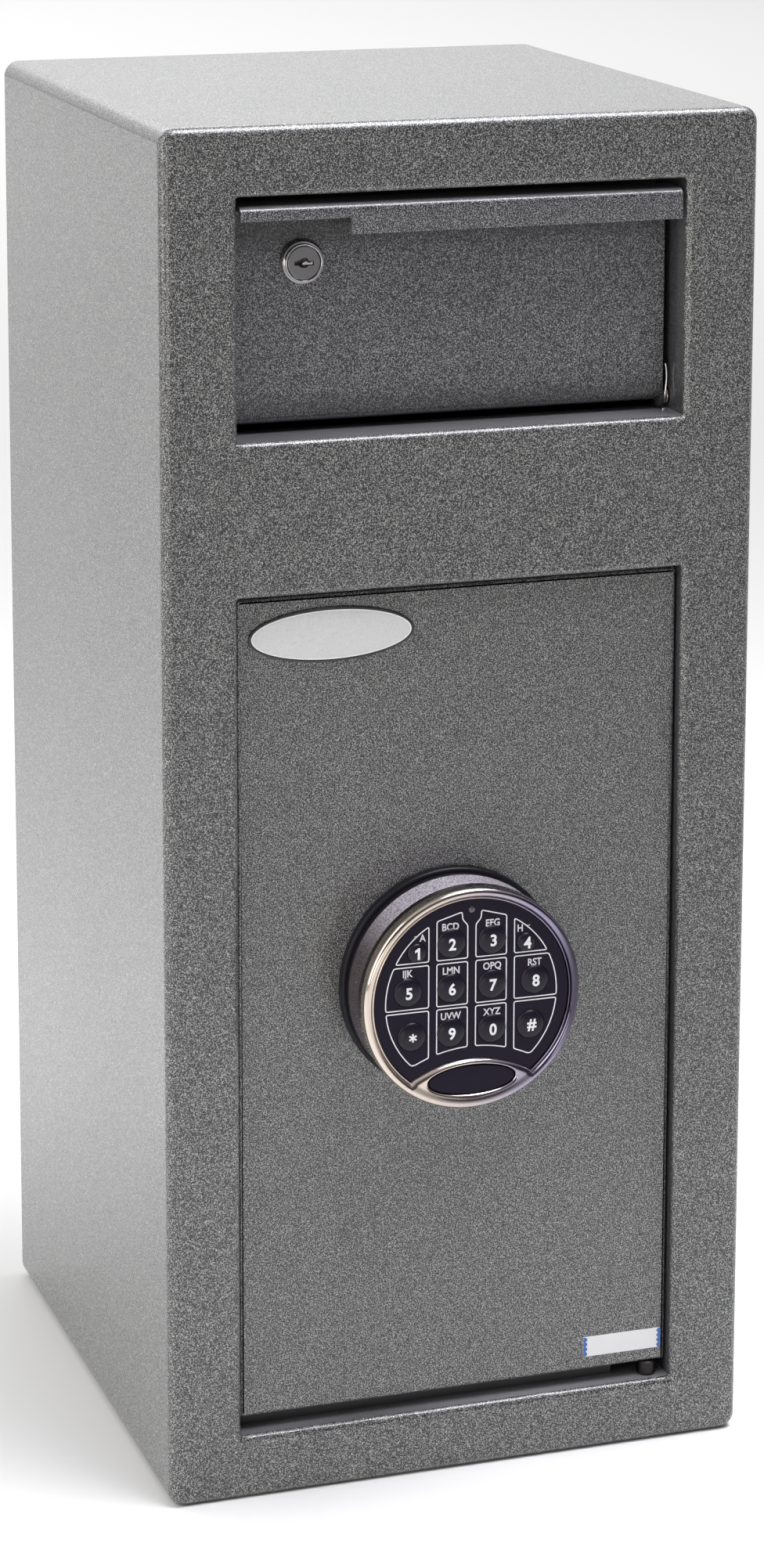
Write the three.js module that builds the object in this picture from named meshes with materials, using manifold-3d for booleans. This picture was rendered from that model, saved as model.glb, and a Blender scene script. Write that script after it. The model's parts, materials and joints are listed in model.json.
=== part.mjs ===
// Deposit safe: a folded steel cabinet with a tilt-out deposit hopper above a keypad-locked door.
// Millimetres, +X right, +Y back, +Z up. The origin lies on the floor, midway across the cabinet
// and midway between its front and back faces. Depths are measured back from the front face.
import * as THREE from 'three';
import { mergeVertices } from 'three/addons/utils/BufferGeometryUtils.js';
import Module from 'manifold-3d';

const wasm = await Module();
wasm.setup();

// Cabinet
const WIDTH = 300;
const DEPTH = 310;
const HEIGHT = 680;
const BODY_SHEET = 3;
const LONG_EDGE_RADIUS = 8;
const FRONT_EDGE_RADIUS = 5;
const BACK_EDGE_RADIUS = 3;
const OPENING_EDGE_RADIUS = 2.5;
const OPENING_CORNER_RADIUS = 1.5;
const RETURN_DEPTH = 32;
const FIXING_HOLE_RADIUS = 6;
const FIXING_HOLE_SPACING = 160;
const SEAT_GAP = 0.3;
const RUNNING_GAP = 0.4;

// Rails left round the openings, and the door
const DOOR_SIDE_RAIL = 36.5;
const BOTTOM_RAIL = 32.5;
const MIDDLE_RAIL = 75;
const TOP_RAIL = 33.5;
const DOOR_RECESS = 6.5;
const DOOR_THICKNESS = 8;
const DOOR_SIDE_GAP = 0.8;
const DOOR_TOP_GAP = 1.5;
const DOOR_BOTTOM_GAP = 7.5;
const DOOR_EDGE_RADIUS = 2;
const HINGE_INSET = 8.7;
const HINGE_SWING_MARGIN = 0.3;
const HINGE_PIN_RADIUS = 3;
const HINGE_PIN_REACH = 18;
const HINGE_BLOCK_WIDTH = 18;
const HINGE_BLOCK_HEIGHT = 17;
const HINGE_COLLAR_RADIUS = 5;
const STOP_STRIP_WIDTH = 6.5;
const STOP_STRIP_THICKNESS = 3;
const STOP_STRIP_GAP = 0.5;
const COVER_SHEET = 1.5;
const COVER_DEPTH = 39.5;
const COVER_LEFT_MARGIN = 14.7;
const COVER_RIGHT_MARGIN = 18.7;
const COVER_END_MARGIN = 12;

// Boltwork
const BOLT_RADIUS = 7;
const BOLT_CLEARANCE_BESIDE_CASE = 13;
const BOLT_STUB_RADIUS = 3;
const BOLT_FROM_DOOR_TOP = 47.5;
const BOLT_TRAVEL = 18;
const BOLT_SHOW = 3.5;
const BOLT_CLEARANCE_BEHIND_RETURN = 1;
const CARRIAGE_THICKNESS = 3;
const CARRIAGE_WIDTH = 44;
const CARRIAGE_OVERHANG = 22;
const CARRIAGE_ARM_HEIGHT = 20;
const BOLT_SEAT_LENGTH = 16;
const GUIDE_STUD_RADIUS = 3;
const GUIDE_STUD_HEAD_RADIUS = 5.5;
const GUIDE_STUD_INSIDE_BOLT = 45;
const GUIDE_RAIL_THICKNESS = 3;
const FOLLOWER_RADIUS = 3;
const CAM_THICKNESS = 3.2;
const CAM_START_RADIUS = 16;
const CAM_RIM = 4.6;
const CAM_TURN = Math.PI / 2;
const LOCK_CASE_WIDTH = 80;
const LOCK_CASE_HEIGHT = 60;
const LOCK_CASE_DEPTH = 25;

// Rotary keypad
const KEYPAD_X = -5;
const KEYPAD_ABOVE_DOOR_MIDDLE = 9.25;
const KEYPAD_BASE_RADIUS = 56.5;
const KEYPAD_BASE_HEIGHT = 4.5;
const DRUM_RADIUS = 54.3;
const DRUM_WALL = 3;
const DRUM_HEIGHT = 21.7;
const BEZEL_RADIUS = 55.3;
const BEZEL_HEIGHT = 10;
const FACE_RADIUS = 50;
const FACE_THICKNESS = 2.5;
const FACE_SINK = 2.6;
const CRESCENT_SINK = 0.8;
const OVAL_SINK = 0.6;
const CRESCENT_RADIUS = 60;
const CRESCENT_TOP = -30.6;
const OVAL_Z = -41;
const OVAL_HALF_WIDTH = 22;
const OVAL_HALF_HEIGHT = 7;
const KEY_RADIUS = 7.2;
const KEY_RISE = 2;
const KEY_TRAVEL = 0.8;
const KEY_FLANGE = 1;
const KEY_FLANGE_REACH = 1.2;
const INNER_COLUMN = 10.5;
const OUTER_COLUMN = 32.5;
const TOP_ROW_OUTER_COLUMN = 28;
const TOP_ROW = 28.5;
const TOP_ROW_OUTER = 25.5;
const MIDDLE_ROW = 6;
const BOTTOM_ROW = -16.5;
const LED_RADIUS = 1.6;
const LED_Z = 44.5;
const LED_PROUD = 0.4;
const SPINDLE_RADIUS = 4;
const BATTERY_SIZE = [26.5, 17.5, 48.5];
const BOARD_THICKNESS = 1.6;

// Plates on the door
const BADGE_HALF_WIDTH = 41.8;
const BADGE_HALF_HEIGHT = 13.6;
const BADGE_BORDER = 2;
const BADGE_THICKNESS = 1;
const BADGE_FACE_RISE = 0.5;
const BADGE_FROM_LEFT = 47.5;
const BADGE_FROM_TOP = 20;
const LABEL_WIDTH = 42;
const LABEL_HEIGHT = 10.5;
const LABEL_THICKNESS = 0.4;
const LABEL_FROM_RIGHT = 2.5;
const LABEL_FROM_BOTTOM = 7;

// Deposit opening and hopper
const DEPOSIT_SIDE_RAIL = 37;
const DEPOSIT_HEIGHT = 116.5;
const PANEL_RECESS = 20;
const PANEL_SHEET = 2.5;
const PANEL_SIDE_GAP = 3.2;
const PANEL_BOTTOM_GAP = 7.5;
const LIP_SIDE_GAP = 2;
const LIP_TOP_GAP = 4.7;
const LIP_FRONT = 1;
const LIP_DROP = 15;
const LIP_NOTCH_DROP = 7;
const LIP_NOTCH_WIDTH = 56.6;
const LIP_BEND_RADIUS = 3.5;
const PIVOT_BEHIND_PANEL = 4;
const PIVOT_ABOVE_SILL = 6.5;
const PIVOT_PIN_RADIUS = 3;
const PIVOT_EYE_RADIUS = 5.5;
const BUSH_RADIUS = 5;
const BUSH_PROUD = 1;
const CHEEK_SHEET = 1.5;
const CHEEK_RADIUS = 94;
const TRAY_SHEET = 1.5;
const TRAY_SLOPE = 21 * Math.PI / 180;
const TRAY_RISE = 3.5;
const HOPPER_TURN = 45 * Math.PI / 180;
const STOP_PIN_RADIUS = 3;
const STOP_PIN_ORBIT = 78;
const STOP_PIN_ANGLE = 50 * Math.PI / 180;
const STOP_PIN_REACH = 6;
const CHUTE_SHEET = 2;
const CHUTE_DEPTH = 98;
const CHUTE_DROP = 35;
const BAFFLE_SHEET = 1.5;
const BAFFLE_GAP = 3.5;
const BAFFLE_LOW_ANGLE = 15 * Math.PI / 180;
const BAFFLE_HIGH_ANGLE = 80 * Math.PI / 180;
const SPRING_WIRE_RADIUS = 0.45;
const SPRING_COIL_RADIUS = 4.4;
const SPRING_TURNS = 1.25;
const SPRING_PITCH = 1.4;
const SPRING_LONG_LEG = 16.5;
const SPRING_SHORT_LEG = 7;
const SPRING_STAND_OFF = 0.3;
const SPRING_STEPS = 40;
const ANCHOR_SCREW_RADIUS = 1.2;
const ANCHOR_SCREW_HEIGHT = 1;

// Cam lock in the hopper panel
const CAM_LOCK_FROM_LEFT = 37.2;
const CAM_LOCK_FROM_TOP = 34.3;
const LOCK_HEAD_RADIUS = 11;
const LOCK_HEAD_HEIGHT = 5.5;
const LOCK_HEAD_STEP = 1.4;
const LOCK_BODY_RADIUS = 9;
const LOCK_PLUG_RADIUS = 8;
const LOCK_SHAFT_RADIUS = 6;
const LOCK_NUT_ACROSS = 24;
const LOCK_NUT_THICKNESS = 4;
const LOCK_CAM_BEHIND_RETURN = 1.5;
const LOCK_CAM_THICKNESS = 2.5;
const LOCK_CAM_OVERLAP = 6;
const LOCK_CAM_WIDTH = 14;
const KEYWAY_WIDTH = 8;
const KEYWAY_HEIGHT = 1.6;
const KEYWAY_DEPTH = 2;

// Fineness of round stretches
const FINE = 40;
const ROUND = 20;
const SMALL = 16;
const CORNER_STEPS = 4;
const EDGE_STEPS = 3;
const CROWN_STEPS = 6;

const frontFace = -DEPTH / 2;
const depth = (d) => frontFace + d;
const paint = new THREE.MeshStandardMaterial({ color: 0x56595a, roughness: 0.5, metalness: 0.35 });
const darkPaint = new THREE.MeshStandardMaterial({ color: 0x2e2f31, roughness: 0.55, metalness: 0.2 });
const zinc = new THREE.MeshStandardMaterial({ color: 0xaeb1b3, roughness: 0.4, metalness: 0.9 });
const chrome = new THREE.MeshStandardMaterial({ color: 0xd9d8d5, roughness: 0.12, metalness: 1 });
const brass = new THREE.MeshStandardMaterial({ color: 0xb59a52, roughness: 0.35, metalness: 0.9 });
const blackPlastic = new THREE.MeshStandardMaterial({ color: 0x1b1a20, roughness: 0.4, metalness: 0 });
const drumFinish = new THREE.MeshStandardMaterial({ color: 0x5a544f, roughness: 0.35, metalness: 0.8 });
const keyRubber = new THREE.MeshStandardMaterial({ color: 0x25232b, roughness: 0.5, metalness: 0 });
const silver = new THREE.MeshStandardMaterial({ color: 0xc6c7c4, roughness: 0.35, metalness: 0.3 });
const labelWhite = new THREE.MeshStandardMaterial({ color: 0xe6e6e2, roughness: 0.5, metalness: 0 });
const boardGreen = new THREE.MeshStandardMaterial({ color: 0x1f5a3a, roughness: 0.6, metalness: 0 });
const batteryBlue = new THREE.MeshStandardMaterial({ color: 0x2c3f6b, roughness: 0.5, metalness: 0.2 });
const ledRed = new THREE.MeshStandardMaterial({ color: 0x6d3a3a, roughness: 0.3, metalness: 0 });

// A boolean-ready solid from a closed geometry: only positions stay, and shared corners are merged.
function solid(geometry) {
  for (const name of Object.keys(geometry.attributes)) {
    if (name !== 'position') geometry.deleteAttribute(name);
  }
  const merged = mergeVertices(geometry, 1e-4);
  const corners = merged.index.array;
  const kept = [];
  for (let i = 0; i < corners.length; i += 3) {
    const [a, b, c] = corners.slice(i, i + 3);
    if (a !== b && b !== c && c !== a) kept.push(a, b, c);
  }
  const mesh = new wasm.Mesh({
    numProp: 3,
    vertProperties: merged.attributes.position.array,
    triVerts: Uint32Array.from(kept),
  });
  return new wasm.Manifold(mesh);
}

function geometryOf(manifold) {
  const mesh = manifold.getMesh();
  const geometry = new THREE.BufferGeometry();
  geometry.setAttribute('position', new THREE.BufferAttribute(mesh.vertProperties, 3));
  geometry.setIndex(new THREE.BufferAttribute(mesh.triVerts, 1));
  geometry.computeVertexNormals();
  return geometry;
}

// Local axes of an outline drawn for each direction of extrusion: along X the outline holds
// (Y, Z), along Y it holds (X, Z), and along Z it holds (X, Y).
const planes = {
  x: [new THREE.Vector3(0, 1, 0), new THREE.Vector3(0, 0, 1), new THREE.Vector3(1, 0, 0)],
  y: [new THREE.Vector3(1, 0, 0), new THREE.Vector3(0, 0, 1), new THREE.Vector3(0, -1, 0)],
  z: [new THREE.Vector3(1, 0, 0), new THREE.Vector3(0, 1, 0), new THREE.Vector3(0, 0, 1)],
};

// A flat-ended prism of an outline, from one coordinate to another along an axis.
function prism(axis, points, from, to) {
  const shape = new THREE.Shape(points.map(([u, v]) => new THREE.Vector2(u, v)));
  const geometry = new THREE.ExtrudeGeometry(shape, { depth: to - from, bevelEnabled: false });
  geometry.translate(0, 0, axis === 'y' ? -to : from);
  geometry.applyMatrix4(new THREE.Matrix4().makeBasis(...planes[axis]));
  return solid(geometry);
}

function arc(cx, cy, radius, start, end, steps) {
  const points = [];
  for (let i = 0; i <= steps; i += 1) {
    const angle = start + (end - start) * i / steps;
    points.push([cx + radius * Math.cos(angle), cy + radius * Math.sin(angle)]);
  }
  return points;
}

function circle(cx, cy, radius, steps) {
  return arc(cx, cy, radius, 0, 2 * Math.PI * (1 - 1 / steps), steps - 1);
}

function rod(axis, cx, cy, radius, from, to, steps = ROUND) {
  return prism(axis, circle(cx, cy, radius, steps), from, to);
}

function tube(axis, cx, cy, outer, inner, from, to, steps = ROUND) {
  const bore = rod(axis, cx, cy, inner, from - 1, to + 1, steps);
  return rod(axis, cx, cy, outer, from, to, steps).subtract(bore);
}

function block(x0, x1, y0, y1, z0, z1) {
  return prism('z', [[x0, y0], [x1, y0], [x1, y1], [x0, y1]], z0, z1);
}

// Corners of a rectangle with rounded corners, counter-clockwise, grown on every side.
function roundedRectangle([x0, z0, x1, z1], radius, grow = 0, steps = CORNER_STEPS) {
  const r = Math.max(radius + grow, 0.05);
  const corners = [[x1, z0, -1], [x1, z1, 0], [x0, z1, 1], [x0, z0, 2]];
  return corners.flatMap(([x, z, quarter]) => {
    const cx = x + Math.sign(x0 + x1 - 2 * x) * (r - grow);
    const cz = z + Math.sign(z0 + z1 - 2 * z) * (r - grow);
    const start = quarter * Math.PI / 2;
    return arc(cx, cz, r, start, start + Math.PI / 2, steps);
  });
}

function ellipse(cx, cz, halfWidth, halfHeight, steps) {
  return circle(0, 0, 1, steps).map(([u, v]) => [cx + u * halfWidth, cz + v * halfHeight]);
}

// A solid through convex outlines of one count, each in its own plane y, with flat ends.
function stack(levels) {
  const count = levels[0].outline.length;
  const positions = levels.flatMap(({ y, outline }) => outline.flatMap(([x, z]) => [x, y, z]));
  const index = [];
  const last = (levels.length - 1) * count;
  for (let i = 1; i < count - 1; i += 1) {
    index.push(0, i, i + 1, last, last + i + 1, last + i);
  }
  for (let level = 0; level < levels.length - 1; level += 1) {
    for (let i = 0; i < count; i += 1) {
      const a = level * count + i;
      const b = level * count + (i + 1) % count;
      index.push(a, a + count, b + count, a, b + count, b);
    }
  }
  const geometry = new THREE.BufferGeometry();
  geometry.setAttribute('position', new THREE.Float32BufferAttribute(positions, 3));
  geometry.setIndex(index);
  return solid(geometry);
}

// Steps of a quarter-round edge: how far back each step lies and how far in it is drawn.
function quarterRound(radius, steps = EDGE_STEPS) {
  return Array.from({ length: steps + 1 }, (_, i) => {
    const angle = i / steps * Math.PI / 2;
    return { back: radius * (1 - Math.cos(angle)), inset: radius * (1 - Math.sin(angle)) };
  });
}

// A plate whose front edge is rolled over to a radius.
function rolledPlate(outlineGrownBy, from, to, radius) {
  const levels = quarterRound(radius).map(({ back, inset }) => ({
    y: from + back,
    outline: outlineGrownBy(-inset),
  }));
  return stack([...levels, { y: to, outline: outlineGrownBy(0) }]);
}

// The cutter for a window whose front rim is rolled inwards to a radius.
function rolledWindow(outlineGrownBy, from, to, radius) {
  const levels = quarterRound(radius).map(({ back, inset }) => ({
    y: from + back,
    outline: outlineGrownBy(inset),
  }));
  return stack([{ y: from - 1, outline: outlineGrownBy(radius) }, ...levels,
    { y: to, outline: outlineGrownBy(0) }]);
}

// A solid of revolution about the Y axis. The profile holds [radius, y] and runs round the section.
function revolve(profile, steps = FINE) {
  const points = profile.map(([radius, y]) => new THREE.Vector2(radius, -y));
  const area = points.reduce((sum, p, i) => sum + p.cross(points[(i + 1) % points.length]), 0);
  if (area < 0) points.reverse();
  const closed = Math.max(points[0].x, points[points.length - 1].x) > 1e-6;
  if (closed) points.push(points[0].clone());
  const geometry = new THREE.LatheGeometry(points, steps);
  geometry.rotateX(Math.PI);
  return solid(geometry);
}

const safe = new THREE.Group();

function add(parent, name, shape, material) {
  const mesh = new THREE.Mesh(geometryOf(shape), material);
  mesh.name = name;
  parent.add(mesh);
  return mesh;
}

function group(parent, x, y, z) {
  const child = new THREE.Group();
  child.position.set(x, y, z);
  parent.add(child);
  return child;
}

// Cabinet: a wrapped tube of sheet, a front plate with two windows, and a back plate
const cabinetOutline = (grow) =>
  roundedRectangle([-WIDTH / 2, 0, WIDTH / 2, HEIGHT], LONG_EDGE_RADIUS, grow);
const depositHalf = WIDTH / 2 - DEPOSIT_SIDE_RAIL;
const depositTop = HEIGHT - TOP_RAIL;
const depositBottom = depositTop - DEPOSIT_HEIGHT;
const doorHalf = WIDTH / 2 - DOOR_SIDE_RAIL;
const doorWindowTop = depositBottom - MIDDLE_RAIL;
const doorWindow = (grow) => roundedRectangle(
  [-doorHalf, BOTTOM_RAIL, doorHalf, doorWindowTop], OPENING_CORNER_RADIUS, grow);
const depositWindow = (grow) => roundedRectangle(
  [-depositHalf, depositBottom, depositHalf, depositTop], OPENING_CORNER_RADIUS, grow);

const insideFront = depth(BODY_SHEET);
const insideBack = depth(DEPTH - BODY_SHEET);
const shellFront = depth(FRONT_EDGE_RADIUS);
const insideTop = HEIGHT - BODY_SHEET;

function bodyShell() {
  const outer = prism('y', cabinetOutline(0), shellFront, insideBack);
  const inner = prism('y', cabinetOutline(-BODY_SHEET), shellFront - 1, insideBack + 1);
  let shell = outer.subtract(inner);
  for (const side of [-1, 1]) {
    shell = shell.subtract(
      rod('z', side * FIXING_HOLE_SPACING / 2, 0, FIXING_HOLE_RADIUS, -1, BODY_SHEET + 1));
  }
  return shell;
}

function frontPlate() {
  const plate = rolledPlate(cabinetOutline, depth(0), shellFront, FRONT_EDGE_RADIUS);
  const behind = prism('y', cabinetOutline(-BODY_SHEET), insideFront, shellFront + 1);
  return plate
    .subtract(behind)
    .subtract(rolledWindow(doorWindow, depth(0), shellFront + 1, OPENING_EDGE_RADIUS))
    .subtract(rolledWindow(depositWindow, depth(0), shellFront + 1, OPENING_EDGE_RADIUS));
}

function backPlate() {
  const levels = quarterRound(BACK_EDGE_RADIUS).reverse().map(({ back, inset }) => ({
    y: depth(DEPTH) - back,
    outline: cabinetOutline(-inset),
  }));
  return stack([{ y: insideBack, outline: cabinetOutline(0) }, ...levels.slice(1)]);
}

// The sheet folded back round a window, as a four-sided sleeve behind the front plate.
function windowReturn(windowOutline) {
  const outer = prism('y', windowOutline(BODY_SHEET), insideFront, depth(RETURN_DEPTH));
  const inner = prism('y', windowOutline(0), insideFront - 1, depth(RETURN_DEPTH) + 1);
  return outer.subtract(inner);
}

// Door and its hinge
const doorEdge = doorHalf - DOOR_SIDE_GAP;
const doorBottom = BOTTOM_RAIL + DOOR_BOTTOM_GAP;
const doorTop = doorWindowTop - DOOR_TOP_GAP;
const keypadZ = (doorBottom + doorTop) / 2 + KEYPAD_ABOVE_DOOR_MIDDLE;
const doorFront = depth(DOOR_RECESS);
const doorBack = doorFront + DOOR_THICKNESS;
const hingeX = doorEdge - HINGE_INSET;
const hingeSwing = HINGE_INSET + DOOR_SIDE_GAP;
const hingeY = doorFront + Math.sqrt(hingeSwing ** 2 - HINGE_INSET ** 2) - HINGE_SWING_MARGIN;
const pinHole = HINGE_PIN_RADIUS + RUNNING_GAP;
const upperBlockFoot = doorWindowTop + BODY_SHEET;
const lowerBlockTop = BOTTOM_RAIL - BODY_SHEET;

function hingeHole() {
  return rod('z', hingeX, hingeY, pinHole, 0, depositBottom);
}

function hingeBlock(foot) {
  const left = doorHalf + BODY_SHEET - HINGE_BLOCK_WIDTH;
  const body = block(left, left + HINGE_BLOCK_WIDTH, insideFront, depth(RETURN_DEPTH) - HINGE_INSET,
    foot, foot + HINGE_BLOCK_HEIGHT);
  return body.subtract(hingeHole());
}

// A three-sided stop behind the door's rim, open on the hinge side where the door's edge swings.
function doorStopFrame() {
  const front = doorBack + STOP_STRIP_GAP;
  const back = front + STOP_STRIP_THICKNESS;
  const right = hingeX - 2 * HINGE_INSET;
  const left = -doorHalf;
  const inside = left + STOP_STRIP_WIDTH;
  return prism('y', [[right, BOTTOM_RAIL], [right, doorBottom + STOP_STRIP_WIDTH],
    [inside, doorBottom + STOP_STRIP_WIDTH], [inside, doorTop - STOP_STRIP_WIDTH],
    [right, doorTop - STOP_STRIP_WIDTH], [right, doorWindowTop], [left, doorWindowTop],
    [left, BOTTOM_RAIL]], front, back)
    .intersect(prism('y', doorWindow(0), front, back));
}

function doorPlate() {
  const outline = (grow) =>
    roundedRectangle([-doorEdge, doorBottom, doorEdge, doorTop], OPENING_CORNER_RADIUS, grow);
  const spindleHole = rod('y', KEYPAD_X, keypadZ, SPINDLE_RADIUS + RUNNING_GAP,
    doorFront - 1, doorBack + 1);
  return rolledPlate(outline, doorFront, doorBack, DOOR_EDGE_RADIUS).subtract(spindleHole);
}

function upperHingePin() {
  return rod('z', hingeX, hingeY, HINGE_PIN_RADIUS, doorTop, doorTop + HINGE_PIN_REACH);
}

// The lower pin carries a collar that bears on the sill.
function lowerHingePin() {
  return rod('z', hingeX, hingeY, HINGE_PIN_RADIUS, BOTTOM_RAIL - HINGE_PIN_REACH, doorBottom)
    .add(rod('z', hingeX, hingeY, HINGE_COLLAR_RADIUS, BOTTOM_RAIL + SEAT_GAP, doorBottom));
}

// Boltwork: three round bolts on a carriage, moved by a follower in the spiral slot of a cam
const boltY = depth(RETURN_DEPTH + BOLT_CLEARANCE_BEHIND_RETURN + BOLT_RADIUS);
const coverLeft = -doorEdge + COVER_LEFT_MARGIN;
const coverRight = doorEdge - COVER_RIGHT_MARGIN;
const coverBottom = doorBottom + COVER_END_MARGIN;
const coverTop = doorTop - COVER_END_MARGIN;
const coverBack = doorBack + COVER_DEPTH;
const boltTip = coverLeft - BOLT_SHOW;
const boltHeel = KEYPAD_X - LOCK_CASE_WIDTH / 2 - BOLT_CLEARANCE_BESIDE_CASE;
const carriageFront = boltY + BOLT_RADIUS + SEAT_GAP;
const carriageBack = carriageFront + CARRIAGE_THICKNESS;
const carriageLeft = boltHeel - BOLT_SEAT_LENGTH;
const carriageRight = carriageLeft + CARRIAGE_WIDTH;
const boltStubX = carriageLeft + BOLT_SEAT_LENGTH / 2;
const boltPitch = doorTop - BOLT_FROM_DOOR_TOP - keypadZ;
const boltHeights = [-1, 0, 1].map((step) => keypadZ + step * boltPitch);
const studHeights = [-1, 1].map((side) => keypadZ + side * (boltPitch - GUIDE_STUD_INSIDE_BOLT));
const studX = carriageLeft + BOLT_SEAT_LENGTH + 1;
const studHeadFront = carriageBack + SEAT_GAP;
const studHeadBack = coverBack - COVER_SHEET - SEAT_GAP;
const camBack = carriageFront - RUNNING_GAP * 2;
const camFront = camBack - CAM_THICKNESS;
const followerX = KEYPAD_X - CAM_START_RADIUS;
const camRadius = CAM_START_RADIUS + BOLT_TRAVEL + FOLLOWER_RADIUS + RUNNING_GAP + CAM_RIM;

function doorBackCover() {
  const outer = block(coverLeft, coverRight, doorBack, coverBack, coverBottom, coverTop);
  const inner = block(coverLeft + COVER_SHEET, coverRight - COVER_SHEET, doorBack - 1,
    coverBack - COVER_SHEET, coverBottom + COVER_SHEET, coverTop - COVER_SHEET);
  let cover = outer.subtract(inner);
  for (const z of boltHeights) {
    cover = cover.subtract(rod('x', boltY, z, BOLT_RADIUS + 2 * RUNNING_GAP,
      coverLeft - 1, coverLeft + COVER_SHEET + 1));
  }
  return cover;
}

function boltGuideRail() {
  const left = coverLeft + COVER_SHEET;
  const overhang = 2 * BOLT_RADIUS;
  let rail = block(left, left + GUIDE_RAIL_THICKNESS, doorBack, carriageBack,
    boltHeights[0] - overhang, boltHeights[2] + overhang);
  for (const z of boltHeights) {
    rail = rail.subtract(rod('x', boltY, z, BOLT_RADIUS + RUNNING_GAP,
      left - 1, left + GUIDE_RAIL_THICKNESS + 1));
  }
  return rail;
}

// A round bolt with a stepped nose, and a riveted stub at its heel that passes through the carriage.
function lockingBolt(z) {
  const nose = BOLT_RADIUS / 5;
  const shank = rod('x', boltY, z, BOLT_RADIUS, boltTip + nose, boltHeel);
  const tip = rod('x', boltY, z, BOLT_RADIUS - nose / 2, boltTip, boltTip + nose);
  const stub = rod('y', boltStubX, z, BOLT_STUB_RADIUS, boltY, studHeadBack, SMALL);
  return shank.add(tip).add(stub);
}

// A band of even width round a line of points, with half-round ends.
function band(line, halfWidth) {
  const sides = [-1, 1].map((side) => line.map(([u, v], i) => {
    const [u0, v0] = line[Math.max(i - 1, 0)];
    const [u1, v1] = line[Math.min(i + 1, line.length - 1)];
    const length = Math.hypot(u1 - u0, v1 - v0);
    return [u - side * halfWidth * (v1 - v0) / length, v + side * halfWidth * (u1 - u0) / length];
  }));
  return [...sides[0], ...sides[1].reverse()];
}

function boltCarriage() {
  const half = CARRIAGE_OVERHANG;
  const armHalf = CARRIAGE_ARM_HEIGHT / 2;
  const armEnd = followerX + FOLLOWER_RADIUS + CAM_RIM;
  let plate = block(carriageLeft, carriageRight, carriageFront, carriageBack,
    boltHeights[0] - half, boltHeights[2] + half);
  plate = plate.add(block(carriageLeft, armEnd, carriageFront, carriageBack,
    keypadZ - armHalf, keypadZ + armHalf));
  for (const z of boltHeights) {
    plate = plate.subtract(rod('y', boltStubX, z, BOLT_STUB_RADIUS + SEAT_GAP,
      carriageFront - 1, carriageBack + 1));
  }
  const slotRadius = GUIDE_STUD_RADIUS + RUNNING_GAP;
  for (const z of studHeights) {
    const ends = [studX, studX + BOLT_TRAVEL].map((x) =>
      rod('y', x, z, slotRadius, carriageFront - 1, carriageBack + 1));
    const middle = block(studX, studX + BOLT_TRAVEL, carriageFront - 1, carriageBack + 1,
      z - slotRadius, z + slotRadius);
    plate = plate.subtract(ends[0]).subtract(ends[1]).subtract(middle);
  }
  const follower = rod('y', followerX, keypadZ, FOLLOWER_RADIUS, camFront, carriageBack);
  return plate.add(follower);
}

function guideStud(z) {
  const shank = rod('y', studX, z, GUIDE_STUD_RADIUS, doorBack, studHeadFront);
  const head = rod('y', studX, z, GUIDE_STUD_HEAD_RADIUS, studHeadFront, studHeadBack);
  return shank.add(head);
}

// The cam's slot opens outwards evenly with the turn, so the bolts move in step with the dial.
function boltCam() {
  const steps = 18;
  const slotHalf = FOLLOWER_RADIUS + RUNNING_GAP;
  const spiral = Array.from({ length: steps + 1 }, (_, i) => {
    const share = i / steps;
    const angle = Math.PI - share * CAM_TURN;
    const radius = CAM_START_RADIUS + share * BOLT_TRAVEL;
    return [radius * Math.cos(angle), radius * Math.sin(angle)];
  });
  const [from, to] = [camFront - 1, camBack + 1];
  let cam = rod('y', 0, 0, camRadius, camFront, camBack, FINE)
    .subtract(rod('y', 0, 0, SPINDLE_RADIUS + SEAT_GAP, from, to))
    .subtract(prism('y', band(spiral, slotHalf), from, to));
  for (const [x, z] of [spiral[0], spiral[steps]]) {
    cam = cam.subtract(rod('y', x, z, slotHalf, from, to));
  }
  return cam;
}

function lockCase() {
  const bore = rod('y', KEYPAD_X, keypadZ, SPINDLE_RADIUS + 2 * RUNNING_GAP,
    doorBack - 1, doorBack + LOCK_CASE_DEPTH + 1);
  return block(KEYPAD_X - LOCK_CASE_WIDTH / 2, KEYPAD_X + LOCK_CASE_WIDTH / 2, doorBack,
    doorBack + LOCK_CASE_DEPTH, keypadZ - LOCK_CASE_HEIGHT / 2, keypadZ + LOCK_CASE_HEIGHT / 2)
    .subtract(bore);
}

// Keypad dial: everything below is drawn about the dial's own axis
const baseFront = doorFront - KEYPAD_BASE_HEIGHT;
const drumBack = baseFront - SEAT_GAP;
const drumFront = drumBack - DRUM_HEIGHT;
const bezelFront = drumFront - BEZEL_HEIGHT;
const faceFront = bezelFront + FACE_SINK;
const faceBack = faceFront + FACE_THICKNESS;
const keyFlangeFront = faceBack + SEAT_GAP;
const keyFlangeBack = keyFlangeFront + KEY_FLANGE;
const boardFront = keyFlangeBack + KEY_TRAVEL + SEAT_GAP;
const boardBack = boardFront + BOARD_THICKNESS;
const bezelLip = BEZEL_RADIUS - FACE_RADIUS;
const crescentFront = bezelFront + CRESCENT_SINK;
const crescentBack = faceFront - SEAT_GAP / 3;

function keypadBase() {
  const bore = SPINDLE_RADIUS + 2 * RUNNING_GAP;
  const chamfer = KEYPAD_BASE_HEIGHT / 3;
  return revolve([[bore, doorFront], [KEYPAD_BASE_RADIUS, doorFront],
    [KEYPAD_BASE_RADIUS, baseFront + chamfer], [KEYPAD_BASE_RADIUS - chamfer, baseFront],
    [bore, baseFront]]);
}

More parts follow.
